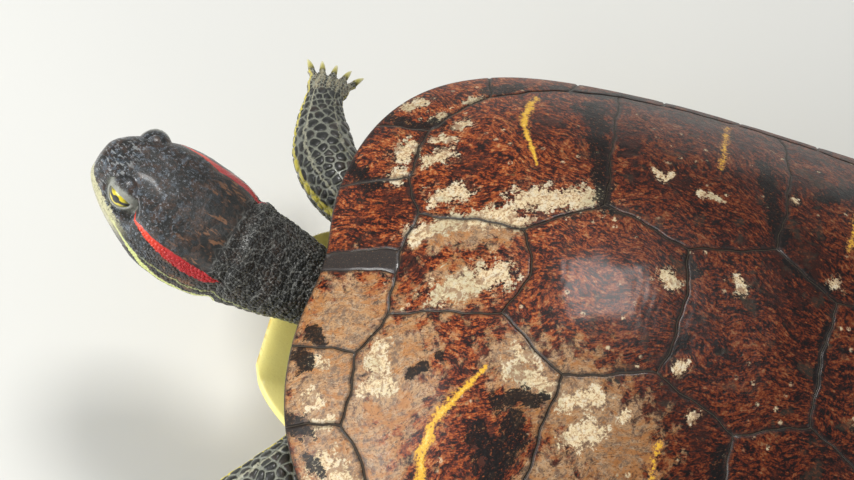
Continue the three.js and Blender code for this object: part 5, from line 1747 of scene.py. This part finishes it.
def add_light(name, place, aim, size, power, colour):
    data = bpy.data.lights.new(name, "AREA")
    data.shape, data.size, data.size_y = "RECTANGLE", size[0], size[1]
    data.energy, data.color = power, colour
    thing = bpy.data.objects.new(name, data)
    bpy.context.scene.collection.objects.link(thing)
    thing.location = place
    thing.rotation_euler = (Vector(aim) - Vector(place)).to_track_quat("-Z", "Y").to_euler()


class TURTLE_OT_stage(bpy.types.Operator):
    """Sets the floor, the lights and the camera"""

    bl_idname = "turtle.stage"
    bl_label = "Stage"

    def execute(self, context):
        scene = context.scene
        stage = scene.turtle_stage
        mesh = grown("floor", bmesh.ops.create_grid, x_segments=4, y_segments=4, size=4.0)
        mesh.materials.append(floor_finish(stage))
        floor = bpy.data.objects.new("floor", mesh)
        scene.collection.objects.link(floor)
        for name, place, aim, size, share, colour in LIGHTS:
            add_light(name, place, aim, size, stage.key * share, colour)
        world = scene.world or bpy.data.worlds.new("studio")
        scene.world = world
        world.use_nodes = True
        ground = world.node_tree.nodes.get("Background")
        if ground is None:
            raise RuntimeError("the world has no background")
        ground.inputs["Color"].default_value = SKY
        ground.inputs["Strength"].default_value = SKY_STRENGTH
        scene.view_settings.view_transform = "Standard"
        az, el, roll = (math.radians(a) for a in (AZIMUTH, ELEVATION, TILT))
        back = Vector((math.sin(az) * math.cos(el), -math.cos(az) * math.cos(el), math.sin(el)))
        right = (-back).cross(Vector((0, 0, 1))).normalized()
        up = back.cross(right)
        turned_right = right * math.cos(roll) + up * math.sin(roll)
        turned_up = up * math.cos(roll) - right * math.sin(roll)
        data = bpy.data.cameras.new("camera")
        data.lens, data.sensor_width = stage.lens, 36
        camera = bpy.data.objects.new("camera", data)
        scene.collection.objects.link(camera)
        place = TARGET + back * DISTANCE
        rows = [(turned_right[i], turned_up[i], back[i], place[i]) for i in range(3)]
        camera.matrix_world = Matrix((*rows, (0, 0, 0, 1)))
        scene.camera = camera
        return {"FINISHED"}


class TURTLE_PT_sidebar(bpy.types.Panel):
    """Lists the pieces and their settings"""

    bl_label = "Slider Turtle"
    bl_idname = "TURTLE_PT_sidebar"
    bl_space_type = "VIEW_3D"
    bl_region_type = "UI"
    bl_category = "Slider Turtle"

    def draw(self, context):
        scene = context.scene
        groups = [("Shell", scene.turtle_shell, ("turtle.carapace",)),
                  ("Belly", scene.turtle_belly, ("turtle.plastron",)),
                  ("Skin", scene.turtle_skin, ("turtle.skin",)), ("Coat", scene.turtle_coat, ()),
                  ("Eyes and claws", scene.turtle_eye, ("turtle.eyes", "turtle.claws")),
                  ("Stage", scene.turtle_stage, ("turtle.stand", "turtle.stage"))]
        for title, settings, buttons in groups:
            box = self.layout.box()
            box.label(text=title)
            for name in type(settings).__annotations__:
                box.prop(settings, name)
            for button in buttons:
                box.operator(button)


SETTINGS = {"turtle_shell": ShellSettings, "turtle_belly": BellySettings, "turtle_skin": SkinSettings,
            "turtle_coat": CoatSettings, "turtle_eye": EyeSettings, "turtle_stage": StageSettings}
CLASSES = [*SETTINGS.values(), TURTLE_OT_carapace, TURTLE_OT_plastron, TURTLE_OT_skin, TURTLE_OT_eyes,
           TURTLE_OT_claws, TURTLE_OT_stand, TURTLE_OT_stage, TURTLE_PT_sidebar]


def register():
    for cls in CLASSES:
        bpy.utils.register_class(cls)
    for name, cls in SETTINGS.items():
        setattr(bpy.types.Scene, name, PointerProperty(type=cls))


def unregister():
    for name in SETTINGS:
        delattr(bpy.types.Scene, name)
    for cls in reversed(CLASSES):
        bpy.utils.unregister_class(cls)


def main():
    register()
    for step in ("stage", "carapace", "plastron", "skin", "eyes", "claws", "stand"):
        getattr(bpy.ops.turtle, step)()


if __name__ == "__main__":
    main()
